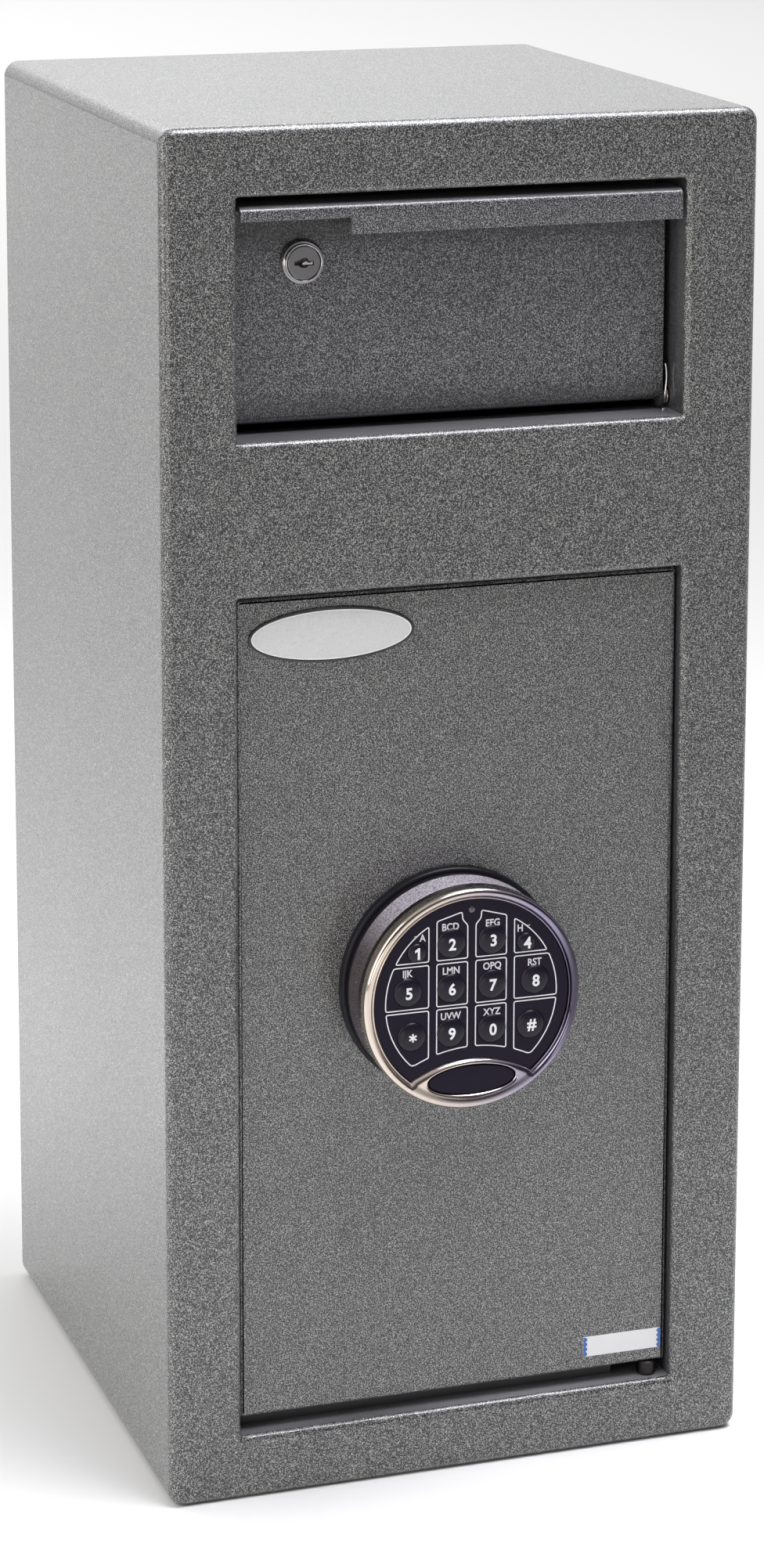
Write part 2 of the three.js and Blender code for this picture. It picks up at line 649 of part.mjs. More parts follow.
function dialDrum() {
  const inner = DRUM_RADIUS - DRUM_WALL;
  const floor = drumBack - DRUM_WALL;
  return revolve([[0, floor], [inner, floor], [inner, drumFront], [DRUM_RADIUS, drumFront],
    [DRUM_RADIUS, drumBack], [0, drumBack]]);
}

// The area below the crescent's upper arc, out to the middle of the ring.
function crescentArea(from, to) {
  const centreZ = CRESCENT_TOP - CRESCENT_RADIUS;
  return rod('y', 0, 0, FACE_RADIUS + bezelLip / 2, from, to, FINE)
    .intersect(rod('y', 0, centreZ, CRESCENT_RADIUS, from, to, FINE));
}

function ovalArea(grow, from, to) {
  return prism('y', ellipse(0, OVAL_Z, OVAL_HALF_WIDTH + grow, OVAL_HALF_HEIGHT + grow, FINE),
    from, to);
}

function dialBezel() {
  const inner = FACE_RADIUS;
  const roll = bezelLip / 2;
  const middle = inner + roll;
  const crown = arc(middle, bezelFront + roll, roll, 0, -Math.PI, CROWN_STEPS);
  const ring = revolve([[inner, faceBack], [inner, drumFront], [BEZEL_RADIUS, drumFront], ...crown]);
  const crescent = crescentArea(crescentFront, crescentBack)
    .subtract(ovalArea(SEAT_GAP, crescentFront - 1, crescentBack + 1));
  return ring.add(crescent);
}

const keys = [
  ['key_1', -TOP_ROW_OUTER_COLUMN, TOP_ROW_OUTER],
  ['key_2', -INNER_COLUMN, TOP_ROW],
  ['key_3', INNER_COLUMN, TOP_ROW],
  ['key_4', TOP_ROW_OUTER_COLUMN, TOP_ROW_OUTER],
  ['key_5', -OUTER_COLUMN, MIDDLE_ROW],
  ['key_6', -INNER_COLUMN, MIDDLE_ROW],
  ['key_7', INNER_COLUMN, MIDDLE_ROW],
  ['key_8', OUTER_COLUMN, MIDDLE_ROW],
  ['key_star', -OUTER_COLUMN + 2, BOTTOM_ROW],
  ['key_9', -INNER_COLUMN, BOTTOM_ROW],
  ['key_0', INNER_COLUMN, BOTTOM_ROW],
  ['key_hash', OUTER_COLUMN - 2, BOTTOM_ROW],
];

function dialFace() {
  let face = rod('y', 0, 0, FACE_RADIUS - SEAT_GAP, faceFront, faceBack, FINE);
  for (const [, x, z] of keys) {
    face = face.subtract(rod('y', x, z, KEY_RADIUS + SEAT_GAP, faceFront - 1, faceBack + 1, SMALL));
  }
  return face.subtract(rod('y', 0, LED_Z, LED_RADIUS + SEAT_GAP, faceFront - 1, faceBack + 1, SMALL));
}

// One key: a domed cap through the face, with a flange behind it that keeps the cap in.
function keyCap() {
  const doming = quarterRound(1).map(({ back, inset }) =>
    [KEY_RADIUS * (1 - back), faceFront - KEY_RISE * (1 - inset)]);
  const rim = KEY_RADIUS + KEY_FLANGE_REACH;
  return revolve([[0, keyFlangeBack], [rim, keyFlangeBack], [rim, keyFlangeFront],
    [KEY_RADIUS, keyFlangeFront], ...doming], SMALL);
}

function statusLed() {
  return rod('y', 0, LED_Z, LED_RADIUS, faceFront - LED_PROUD, boardFront, SMALL);
}

function circuitBoard() {
  return rod('y', 0, 0, FACE_RADIUS - SEAT_GAP, boardFront, boardBack, FINE);
}

function battery() {
  const [width, thick, tall] = BATTERY_SIZE;
  const back = drumBack - DRUM_WALL;
  return block(-width / 2, width / 2, back - thick, back, -tall / 2, tall / 2);
}

function dialSpindle() {
  return rod('y', 0, 0, SPINDLE_RADIUS, drumBack, camBack);
}

// Hopper: drawn about its pivot, so rear distances and heights here start at the pivot
const pivotY = depth(PANEL_RECESS + PIVOT_BEHIND_PANEL);
const pivotZ = depositBottom + PIVOT_ABOVE_SILL;
const panelFront = -PIVOT_BEHIND_PANEL;
const panelBack = panelFront + PANEL_SHEET;
const panelHalf = depositHalf - PANEL_SIDE_GAP;
const panelFoot = depositBottom + PANEL_BOTTOM_GAP - pivotZ;
const lipTop = depositTop - LIP_TOP_GAP - pivotZ;
const lipHalf = depositHalf - LIP_SIDE_GAP;
const lipFront = depth(LIP_FRONT) - pivotY;
const lockY = panelFront;
const lockX = -depositHalf + CAM_LOCK_FROM_LEFT;
const lockZ = depositTop - CAM_LOCK_FROM_TOP - pivotZ;
const lipNotchX = -depositHalf + LIP_NOTCH_WIDTH;
const cheekInner = panelHalf - CHEEK_SHEET;
const trayHalf = cheekInner;
const lockCamFront = depth(RETURN_DEPTH + LOCK_CAM_BEHIND_RETURN) - pivotY;
const lockCamBack = lockCamFront + LOCK_CAM_THICKNESS;
const baffleInner = CHEEK_RADIUS + BAFFLE_GAP;

// Front panel with a folded lip along its top: back of the lip, roof, bend and hanging front.
function lipProfile(drop) {
  const r = LIP_BEND_RADIUS;
  const inner = Math.max(r - PANEL_SHEET, 0.3);
  const outerBend = arc(lipFront + r, lipTop - r, r, Math.PI / 2, Math.PI, EDGE_STEPS);
  const innerBend = arc(lipFront + PANEL_SHEET + inner, lipTop - PANEL_SHEET - inner, inner,
    Math.PI, Math.PI / 2, EDGE_STEPS);
  return [[panelBack, lipTop - PANEL_SHEET], [panelBack, lipTop], ...outerBend,
    [lipFront, lipTop - drop], [lipFront + PANEL_SHEET, lipTop - drop], ...innerBend];
}

function hopperPanel() {
  const plate = block(-panelHalf, panelHalf, panelFront, panelBack, panelFoot, lipTop);
  const shortLip = prism('x', lipProfile(LIP_NOTCH_DROP), -lipHalf, lipNotchX);
  const longLip = prism('x', lipProfile(LIP_DROP), lipNotchX, lipHalf);
  const lockHole = rod('y', lockX, lockZ, LOCK_BODY_RADIUS + SEAT_GAP,
    panelFront - 1, panelBack + 1);
  return plate.add(shortLip).add(longLip).subtract(lockHole);
}

// Side cheek: a quadrant about the pivot, with its pivot pin standing out of it and a curved slot
// that runs over the fixed stop pin.
function hopperCheek(side) {
  const [from, to] = span(side, cheekInner, panelHalf);
  const [pinFrom, pinTo] = span(side, panelHalf, depositHalf + BODY_SHEET + BUSH_PROUD);
  const top = Math.acos(panelBack / CHEEK_RADIUS);
  const rim = arc(0, 0, CHEEK_RADIUS, -TRAY_SLOPE, top, ROUND);
  const eye = rod('x', 0, 0, PIVOT_EYE_RADIUS, from, to);
  const inFront = block(from - 1, to + 1, -CHEEK_RADIUS, panelBack, panelFoot, CHEEK_RADIUS);
  const slotHalf = STOP_PIN_RADIUS + RUNNING_GAP;
  const slotLow = STOP_PIN_ANGLE - HOPPER_TURN;
  const line = arc(0, 0, STOP_PIN_ORBIT, slotLow, STOP_PIN_ANGLE, SMALL);
  let cheek = prism('x', [[panelBack, panelFoot], ...rim], from, to)
    .add(eye)
    .subtract(inFront)
    .add(rod('x', 0, 0, PIVOT_PIN_RADIUS, pinFrom, pinTo))
    .subtract(prism('x', band(line, slotHalf), from - 1, to + 1));
  for (const [y, z] of [line[0], line[line.length - 1]]) {
    cheek = cheek.subtract(rod('x', y, z, slotHalf, from - 1, to + 1));
  }
  return cheek;
}

// Sloping floor from the panel back to the cheeks' rim.
function hopperTray() {
  const along = ([y, z]) => [
    y * Math.cos(TRAY_SLOPE) + z * Math.sin(TRAY_SLOPE),
    -y * Math.sin(TRAY_SLOPE) + z * Math.cos(TRAY_SLOPE),
  ];
  const frontZ = TRAY_RISE;
  const rear = Math.sqrt(CHEEK_RADIUS ** 2 - TRAY_RISE ** 2);
  const underside = frontZ - TRAY_SHEET;
  const start = (z) => [panelBack, (z - panelBack * Math.sin(TRAY_SLOPE)) / Math.cos(TRAY_SLOPE)];
  const outline = [start(underside), along([rear, underside]), along([rear, frontZ]), start(frontZ)];
  return prism('x', outline, -trayHalf, trayHalf);
}

// Ends of a span that runs from one distance to another off the middle, on the side asked for.
function span(side, near, far) {
  return side < 0 ? [-far, -near] : [near, far];
}

function pivotBush(side) {
  const [from, to] = span(side, depositHalf, depositHalf + BODY_SHEET + BUSH_PROUD);
  return tube('x', pivotY, pivotZ, BUSH_RADIUS, PIVOT_PIN_RADIUS + RUNNING_GAP, from, to);
}

function depositReturn() {
  const bushHole = rod('x', pivotY, pivotZ, BUSH_RADIUS + SEAT_GAP, -WIDTH / 2, WIDTH / 2);
  return windowReturn(depositWindow).subtract(bushHole);
}

// The torsion spring's centre line: a straight leg down the panel's edge, turns round the pivot
// pin that step outwards evenly, and a short leg that lies over the sill.
class SpringLine extends THREE.Curve {
  constructor() {
    super();
    this.turnLength = 2 * Math.PI * SPRING_COIL_RADIUS * SPRING_TURNS;
    this.total = SPRING_LONG_LEG + this.turnLength + SPRING_SHORT_LEG;
  }

  getPoint(t, target = new THREE.Vector3()) {
    const run = t * this.total;
    const startX = panelHalf + SPRING_STAND_OFF + SPRING_WIRE_RADIUS;
    const endX = startX + SPRING_TURNS * SPRING_PITCH;
    if (run < SPRING_LONG_LEG) {
      return target.set(startX, -SPRING_COIL_RADIUS, SPRING_LONG_LEG - run);
    }
    const wound = Math.min((run - SPRING_LONG_LEG) / this.turnLength, 1);
    const angle = Math.PI + wound * SPRING_TURNS * 2 * Math.PI;
    target.set(startX + wound * (endX - startX),
      SPRING_COIL_RADIUS * Math.cos(angle), SPRING_COIL_RADIUS * Math.sin(angle));
    const past = Math.max(run - SPRING_LONG_LEG - this.turnLength, 0);
    return target.add(new THREE.Vector3(0, past, 0));
  }
}

// The least clear space between two stretches of wire that lie more than half a turn apart.
function leastGapInSpring(line) {
  const points = line.getPoints(SPRING_STEPS * 4);
  const apart = Math.ceil(Math.PI * SPRING_COIL_RADIUS / line.total * SPRING_STEPS * 4);
  const gaps = points.flatMap((point, i) => points.slice(i + apart).map((other) =>
    point.distanceTo(other) - 2 * SPRING_WIRE_RADIUS));
  return Math.min(...gaps);
}

function returnSpring() {
  const line = new SpringLine();
  console.log(`hopper_return_spring: least gap to itself ${leastGapInSpring(line).toFixed(2)} mm`);
  const section = new THREE.Shape(
    circle(0, 0, SPRING_WIRE_RADIUS, 6).map(([u, v]) => new THREE.Vector2(u, v)));
  return solid(new THREE.ExtrudeGeometry(section, { steps: SPRING_STEPS, extrudePath: line }));
}

function springAnchor() {
  const x = depositHalf - OPENING_CORNER_RADIUS - ANCHOR_SCREW_RADIUS;
  return rod('z', x, depth(PANEL_RECESS), ANCHOR_SCREW_RADIUS, depositBottom,
    depositBottom + ANCHOR_SCREW_HEIGHT, SMALL);
}

// Chute behind the hopper: side walls, each with a stop pin riveted in, and a curved baffle
function chuteWall(side) {
  const [from, to] = span(side, depositHalf, depositHalf + CHUTE_SHEET);
  const [pinFrom, pinTo] = span(side, depositHalf - STOP_PIN_REACH, depositHalf + CHUTE_SHEET);
  const y = pivotY + STOP_PIN_ORBIT * Math.cos(STOP_PIN_ANGLE);
  const z = pivotZ + STOP_PIN_ORBIT * Math.sin(STOP_PIN_ANGLE);
  return block(from, to, depth(RETURN_DEPTH), depth(RETURN_DEPTH + CHUTE_DEPTH),
    depositBottom - CHUTE_DROP, insideTop)
    .add(rod('x', y, z, STOP_PIN_RADIUS, pinFrom, pinTo));
}

function antiFishingBaffle() {
  const outer = baffleInner + BAFFLE_SHEET;
  const inside = arc(pivotY, pivotZ, baffleInner, BAFFLE_LOW_ANGLE, BAFFLE_HIGH_ANGLE, ROUND);
  const outside = arc(pivotY, pivotZ, outer, BAFFLE_HIGH_ANGLE, BAFFLE_LOW_ANGLE, ROUND);
  const [topInside, topOutside] = [inside[inside.length - 1][0], outside[0][0]];
  const outline = [...inside, [topInside, insideTop], [topOutside + BAFFLE_SHEET, insideTop], ...outside];
  return prism('x', outline.reverse(), -depositHalf, depositHalf);
}

// Cam lock: drawn about the lock's own axis, with depths from the hopper's pivot
const lockHeadFront = lockY - LOCK_HEAD_HEIGHT;
const plugStep = lockHeadFront + LOCK_HEAD_HEIGHT / 2;

function lockBarrel() {
  const body = lockCamFront - SEAT_GAP;
  return revolve([[LOCK_HEAD_RADIUS, lockY], [LOCK_HEAD_RADIUS, lockHeadFront + LOCK_HEAD_STEP],
    [LOCK_HEAD_RADIUS - LOCK_HEAD_STEP, lockHeadFront], [LOCK_PLUG_RADIUS + SEAT_GAP, lockHeadFront],
    [LOCK_PLUG_RADIUS + SEAT_GAP, plugStep], [LOCK_SHAFT_RADIUS + SEAT_GAP, plugStep],
    [LOCK_SHAFT_RADIUS + SEAT_GAP, body], [LOCK_BODY_RADIUS, body], [LOCK_BODY_RADIUS, lockY]], 32);
}

function lockNut() {
  const from = panelBack;
  const outer = rod('y', 0, 0, LOCK_NUT_ACROSS / Math.sqrt(3), from, from + LOCK_NUT_THICKNESS, 6);
  return outer.subtract(rod('y', 0, 0, LOCK_BODY_RADIUS + SEAT_GAP, from - 1,
    from + LOCK_NUT_THICKNESS + 1));
}

function lockPlug() {
  const front = lockHeadFront + SEAT_GAP;
  const step = plugStep - SEAT_GAP;
  const keyway = block(-KEYWAY_WIDTH / 2, KEYWAY_WIDTH / 2, front - 1, front + KEYWAY_DEPTH,
    -KEYWAY_HEIGHT / 2, KEYWAY_HEIGHT / 2);
  return revolve([[0, front], [LOCK_PLUG_RADIUS, front], [LOCK_PLUG_RADIUS, step],
    [LOCK_SHAFT_RADIUS, step], [LOCK_SHAFT_RADIUS, lockCamFront], [0, lockCamFront]], 32)
    .subtract(keyway);
}

// The tongue points sideways when unlocked and up behind the opening's head when turned.
function lockCam() {
  const reach = CAM_LOCK_FROM_TOP + LOCK_CAM_OVERLAP;
  const half = LOCK_CAM_WIDTH / 2;
  return rod('y', 0, 0, half + 1, lockCamFront, lockCamBack)
    .add(block(0, reach, lockCamFront, lockCamBack, -half, half));
}

// Plates stuck to the door
function badgeOutline(grow) {
  const x = -doorEdge + BADGE_FROM_LEFT;
  const z = doorTop - BADGE_FROM_TOP;
  return ellipse(x, z, BADGE_HALF_WIDTH + grow, BADGE_HALF_HEIGHT + grow, FINE);
}

function badge() {
  const front = doorFront - BADGE_THICKNESS;
  const backing = rolledPlate(badgeOutline, front, doorFront, BADGE_THICKNESS / 2);
  const face = rolledPlate((grow) => badgeOutline(grow - BADGE_BORDER),
    front - BADGE_FACE_RISE, doorFront, BADGE_FACE_RISE / 2);
  return backing.add(face);
}

function serialLabel() {
  const right = doorEdge - LABEL_FROM_RIGHT;
  const bottom = doorBottom + LABEL_FROM_BOTTOM;
  return block(right - LABEL_WIDTH, right, doorFront - LABEL_THICKNESS, doorFront,
    bottom, bottom + LABEL_HEIGHT);
}

// Assembly
add(safe, 'body_shell', bodyShell(), paint);
add(safe, 'front_plate', frontPlate(), paint);
add(safe, 'back_plate', backPlate(), paint);
add(safe, 'door_opening_return', windowReturn(doorWindow).subtract(hingeHole()), paint);
add(safe, 'deposit_opening_return', depositReturn(), paint);
add(safe, 'door_stop_frame', doorStopFrame(), darkPaint);
add(safe, 'upper_hinge_block', hingeBlock(upperBlockFoot), zinc);
add(safe, 'lower_hinge_block', hingeBlock(lowerBlockTop - HINGE_BLOCK_HEIGHT), zinc);
add(safe, 'chute_left_wall', chuteWall(-1), darkPaint);
add(safe, 'chute_right_wall', chuteWall(1), darkPaint);
add(safe, 'anti_fishing_baffle', antiFishingBaffle(), darkPaint);
add(safe, 'left_pivot_bush', pivotBush(-1), brass);
add(safe, 'right_pivot_bush', pivotBush(1), brass);
add(safe, 'spring_anchor_screw', springAnchor(), zinc);

const door = group(safe, 0, 0, 0);
add(door, 'door_plate', doorPlate(), paint);
add(door, 'door_back_cover', doorBackCover(), darkPaint);
add(door, 'upper_hinge_pin', upperHingePin(), zinc);
add(door, 'lower_hinge_pin', lowerHingePin(), zinc);
add(door, 'bolt_guide_rail', boltGuideRail(), zinc);
add(door, 'lock_case', lockCase(), zinc);
add(door, 'lower_guide_stud', guideStud(studHeights[0]), zinc);
add(door, 'upper_guide_stud', guideStud(studHeights[1]), zinc);
add(door, 'badge', badge(), silver);
add(door, 'serial_label', serialLabel(), labelWhite);

const boltwork = group(door, 0, 0, 0);
add(boltwork, 'bolt_carriage', boltCarriage(), zinc);
add(boltwork, 'lower_bolt', lockingBolt(boltHeights[0]), zinc);
add(boltwork, 'middle_bolt', lockingBolt(boltHeights[1]), zinc);
add(boltwork, 'upper_bolt', lockingBolt(boltHeights[2]), zinc);

const keypad = group(door, KEYPAD_X, 0, keypadZ);
add(keypad, 'keypad_base', keypadBase(), blackPlastic);
add(keypad, 'dial_drum', dialDrum(), drumFinish);
add(keypad, 'dial_bezel', dialBezel(), chrome);
add(keypad, 'dial_face', dialFace(), blackPlastic);
add(keypad, 'oval_plate', ovalArea(0, crescentFront + OVAL_SINK, crescentBack), blackPlastic);
add(keypad, 'status_led', statusLed(), ledRed);
add(keypad, 'circuit_board', circuitBoard(), boardGreen);
add(keypad, 'battery', battery(), batteryBlue);
add(keypad, 'dial_spindle', dialSpindle(), zinc);
add(keypad, 'bolt_cam', boltCam(), zinc);
for (const [name, x, z] of keys) {
  add(group(keypad, x, 0, z), name, keyCap(), keyRubber);
}

const hopper = group(safe, 0, pivotY, pivotZ);
add(hopper, 'hopper_panel', hopperPanel(), paint);
add(hopper, 'hopper_left_cheek', hopperCheek(-1), darkPaint);
add(hopper, 'hopper_right_cheek', hopperCheek(1), darkPaint);
add(hopper, 'hopper_tray', hopperTray(), darkPaint);
add(hopper, 'hopper_return_spring', returnSpring(), chrome);

const camLock = group(hopper, lockX, 0, lockZ);
add(camLock, 'lock_barrel', lockBarrel(), chrome);
add(camLock, 'lock_nut', lockNut(), zinc);
add(camLock, 'lock_plug', lockPlug(), zinc);
add(camLock, 'lock_cam', lockCam(), zinc);

export default safe;
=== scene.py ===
"""Deposit safe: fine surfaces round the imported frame, and its painted, plated and moulded finishes."""
import json
from math import pi, radians

import bmesh
import bpy
import numpy as np
from bpy.props import FloatProperty, FloatVectorProperty, IntProperty, PointerProperty
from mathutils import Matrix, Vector
from mathutils.geometry import tessellate_polygon


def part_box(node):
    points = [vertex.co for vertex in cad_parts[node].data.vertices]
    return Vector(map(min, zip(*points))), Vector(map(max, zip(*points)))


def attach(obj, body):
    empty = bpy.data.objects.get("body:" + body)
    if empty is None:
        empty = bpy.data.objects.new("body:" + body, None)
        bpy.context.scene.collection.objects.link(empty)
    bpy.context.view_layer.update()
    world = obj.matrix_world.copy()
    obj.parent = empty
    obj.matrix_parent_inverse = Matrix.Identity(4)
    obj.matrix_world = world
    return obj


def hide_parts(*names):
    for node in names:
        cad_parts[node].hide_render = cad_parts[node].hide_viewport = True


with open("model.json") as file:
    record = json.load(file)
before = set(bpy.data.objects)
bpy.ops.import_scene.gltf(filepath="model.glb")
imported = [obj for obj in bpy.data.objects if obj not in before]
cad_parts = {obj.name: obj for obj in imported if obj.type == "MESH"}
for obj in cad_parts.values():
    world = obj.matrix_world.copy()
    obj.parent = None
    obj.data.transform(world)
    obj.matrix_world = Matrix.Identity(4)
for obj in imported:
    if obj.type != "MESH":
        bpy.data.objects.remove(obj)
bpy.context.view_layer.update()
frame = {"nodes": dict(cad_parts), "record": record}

bl_info = {
    "name": "Deposit Safe",
    "version": (1, 0, 0),
    "blender": (4, 5, 0),
    "location": "3D View > Sidebar > Deposit Safe",
    "description": "Builds the visible pieces and finishes of a deposit safe round its frame",
    "category": "Object",
}

MM = 0.001
WELD = 1e-6
FLAT_BAND = 0.3 * MM
ROUND_STEPS = 128
SMALL_STEPS = 64
CORNER_STEPS = 12
ROLL_STEPS = 10


# Surfaces from formulas


def arc(centre, radius, start, end, steps=ROLL_STEPS):
    """Points centre + radius * (cos a, sin a) at even angles a from start to end, in degrees.
    A radius of two numbers gives an ellipse's arc."""
    angle = np.radians(np.linspace(start, end, steps + 1))
    return np.asarray(centre) + np.stack([np.cos(angle), np.sin(angle)], axis=-1) * radius


def joined(*stretches):
    """One profile from single points and arcs, in order."""
    return np.vstack([np.atleast_2d(np.asarray(stretch, float)) for stretch in stretches])


def rectangle(x0, z0, x1, z1, radius, along=0):
    """Outline function of a rectangle with round corners: each corner is a quarter circle of radius + grow
    about a centre one radius inside both sides, and along even points are put on each side."""
    corner = np.radians(np.linspace(0, 90, CORNER_STEPS + 1))
    angle = corner + np.radians([[180], [270], [0], [90]])
    centre = np.array([[x0 + radius, z0 + radius], [x1 - radius, z0 + radius],
                       [x1 - radius, z1 - radius], [x0 + radius, z1 - radius]])
    share = np.linspace(0, 1, along + 2)[1:-1, None]

    def outline(grow):
        """Points (x, z) of the rectangle grown by each number in a list."""
        reach = (radius + np.asarray(grow, float))[:, None, None, None]
        round_part = centre[:, None] + reach * np.stack([np.cos(angle), np.sin(angle)], axis=-1)
        after = np.roll(round_part[:, :, :1], -1, axis=1)
        sides = round_part[:, :, -1:] * (1 - share) + after * share
        rows = np.concatenate([round_part, sides], axis=2)
        return rows.reshape(len(rows), -1, 2)

    return outline


def ellipse(x, z, half_width, half_height, steps=ROUND_STEPS):
    """Outline function of an ellipse: centre + (half_width + grow, half_height + grow) * (cos a, sin a)."""
    angle = np.linspace(0, 2 * pi, steps, endpoint=False)
    turn = np.stack([np.cos(angle), np.sin(angle)], axis=-1)
    half = np.array([half_width, half_height])
    return lambda grow: np.array([x, z]) + (half + np.asarray(grow, float)[:, None])[:, None] * turn


def circle(centre, radius, steps=ROUND_STEPS):
    """Outline function of a circle."""
    return ellipse(*centre, radius, radius, steps)


def carried(outline, profile):
    """A profile carried round an outline: row i is the outline grown by the profile's first number i, at
    the depth of its second."""
    rows = outline(profile[:, 0])
    depth = np.broadcast_to(profile[:, 1, None], rows.shape[:2])
    return np.stack([rows[..., 0], depth, rows[..., 1]], axis=-1)


def turned(centre, profile, axis="y", steps=ROUND_STEPS):
    """A profile of (radius, distance along the axis) turned about an axis through centre."""
    points = carried(ellipse(0, 0, 0, 0, steps), np.asarray(profile, float))
    order = {"x": [1, 0, 2], "y": [0, 1, 2], "z": [0, 2, 1]}[axis]
    place = {"x": (0, *centre), "y": (centre[0], 0, centre[1]), "z": (*centre, 0)}[axis]
    return points[..., order] + np.array(place)


def skin(points, wrap=True, closed=False):
    """Four-sided faces between the neighbours of a grid of points; wrap joins the last column to the first
    and closed the last row to the first."""
    index = np.arange(points.shape[0] * points.shape[1]).reshape(points.shape[:2])
    if wrap:
        index = np.hstack([index, index[:, :1]])
    if closed:
        index = np.vstack([index, index[:1]])
    around = [index[:-1, :-1], index[:-1, 1:], index[1:, 1:], index[1:, :-1]]
    return points.reshape(-1, 3), np.stack(around, axis=-1).reshape(-1, 4).tolist()


def filled(*loops):
    """A flat face inside the first loop of points and outside the others, as triangles."""
    corners = np.vstack(loops)
    triangles = tessellate_polygon([list(map(Vector, loop.tolist())) for loop in loops])
    return corners, [list(triangle) for triangle in triangles]


def standing(line, depth):
    """Points (x, z) of a line put at a depth y."""
    return np.stack([line[:, 0], np.full(len(line), depth), line[:, 1]], axis=-1)


def at_depth(outline, grow, depth):
    """One loop of an outline function at a depth."""
    return carried(outline, np.array([[grow, depth]]))[0]


def slab(front, shift):
    """A closed solid between a grid and the same grid moved by shift."""
    back = front + np.asarray(shift)
    around = [np.stack([front[0], back[0]]), np.stack([front[-1], back[-1]]),
              np.stack([front[:, 0], back[:, 0]]), np.stack([front[:, -1], back[:, -1]])]
    return [skin(grid, wrap=False) for grid in (front, back, *around)]


def drawn(rows):
    """A closed bar from a grid whose columns are the bar's two or more sections, with both ends filled."""
    return [skin(rows, wrap=False, closed=True), filled(rows[:, 0]), filled(rows[:, -1])]


def ripple(distance, waves):
    """A smooth uneven line: the sum of sines with the given (length, height, phase)."""
    return sum(height * np.sin(2 * pi * distance / length + phase) for length, height, phase in waves)


def mesh_of(surfaces):
    """One mesh from surfaces: seams and poles are merged, and faces are turned outwards."""
    points = np.vstack([surface[0] for surface in surfaces])
    starts = np.cumsum([0] + [len(surface[0]) for surface in surfaces])
    faces = [[corner + start for corner in face]
             for (_, patch), start in zip(surfaces, starts) for face in patch]
    mesh = bpy.data.meshes.new("surface")
    mesh.from_pydata(points.tolist(), [], faces)
    shape = bmesh.new()
    shape.from_mesh(mesh)
    bmesh.ops.remove_doubles(shape, verts=shape.verts, dist=WELD)
    bmesh.ops.dissolve_degenerate(shape, edges=shape.edges, dist=WELD)
    bmesh.ops.recalc_face_normals(shape, faces=shape.faces)
    shape.to_mesh(mesh)
    shape.free()
    return mesh


def piece(name, body, finish, surfaces, replaces=(), crease=32, drill=()):
    """A finished piece: its mesh, drilled holes, shading, material and body. Edges sharper than the
    crease, in degrees, stay sharp."""
    obj = bpy.data.objects.new(name, mesh_of(surfaces))
    bpy.context.scene.collection.objects.link(obj)
    if drill:
        bore(obj, drill)
    obj.data.name = name
    obj.data.shade_smooth()
    obj.data.set_sharp_from_angle(angle=radians(crease))
    obj.data.materials.append(finish)
    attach(obj, body)
    if replaces:
        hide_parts(*replaces)
    return obj


def evaluated_mesh(obj):
    """The mesh of an object with its modifiers, or of a text curve."""
    return bpy.data.meshes.new_from_object(obj.evaluated_get(bpy.context.evaluated_depsgraph_get()))


def bore(obj, cutters):
    """Cuts closed surfaces out of a piece."""
    tool = bpy.data.objects.new("cutter", mesh_of(cutters))
    bpy.context.scene.collection.objects.link(tool)
    cut = obj.modifiers.new("cut", "BOOLEAN")
    cut.operation = "DIFFERENCE"
    cut.solver = "EXACT"
    cut.object = tool
    result = evaluated_mesh(obj)
    obj.modifiers.clear()
    obj.data = result
    bpy.data.objects.remove(tool)


def rod(centre, radius, start, end, axis):
    """A closed round rod."""
    return skin(turned(centre, [(0, start), (radius, start), (radius, end), (0, end)], axis, SMALL_STEPS))


def box(node):
    """A node's lowest and highest corners, as arrays."""
    low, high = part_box(node)
    return np.array(low), np.array(high)


def middle_of(node):
    """The middle of a node's box."""
    low, high = box(node)
    return (low + high) / 2


def radius_of(node):
    """Half a node's width."""
    low, high = box(node)
    return (high[0] - low[0]) / 2


# Node trees


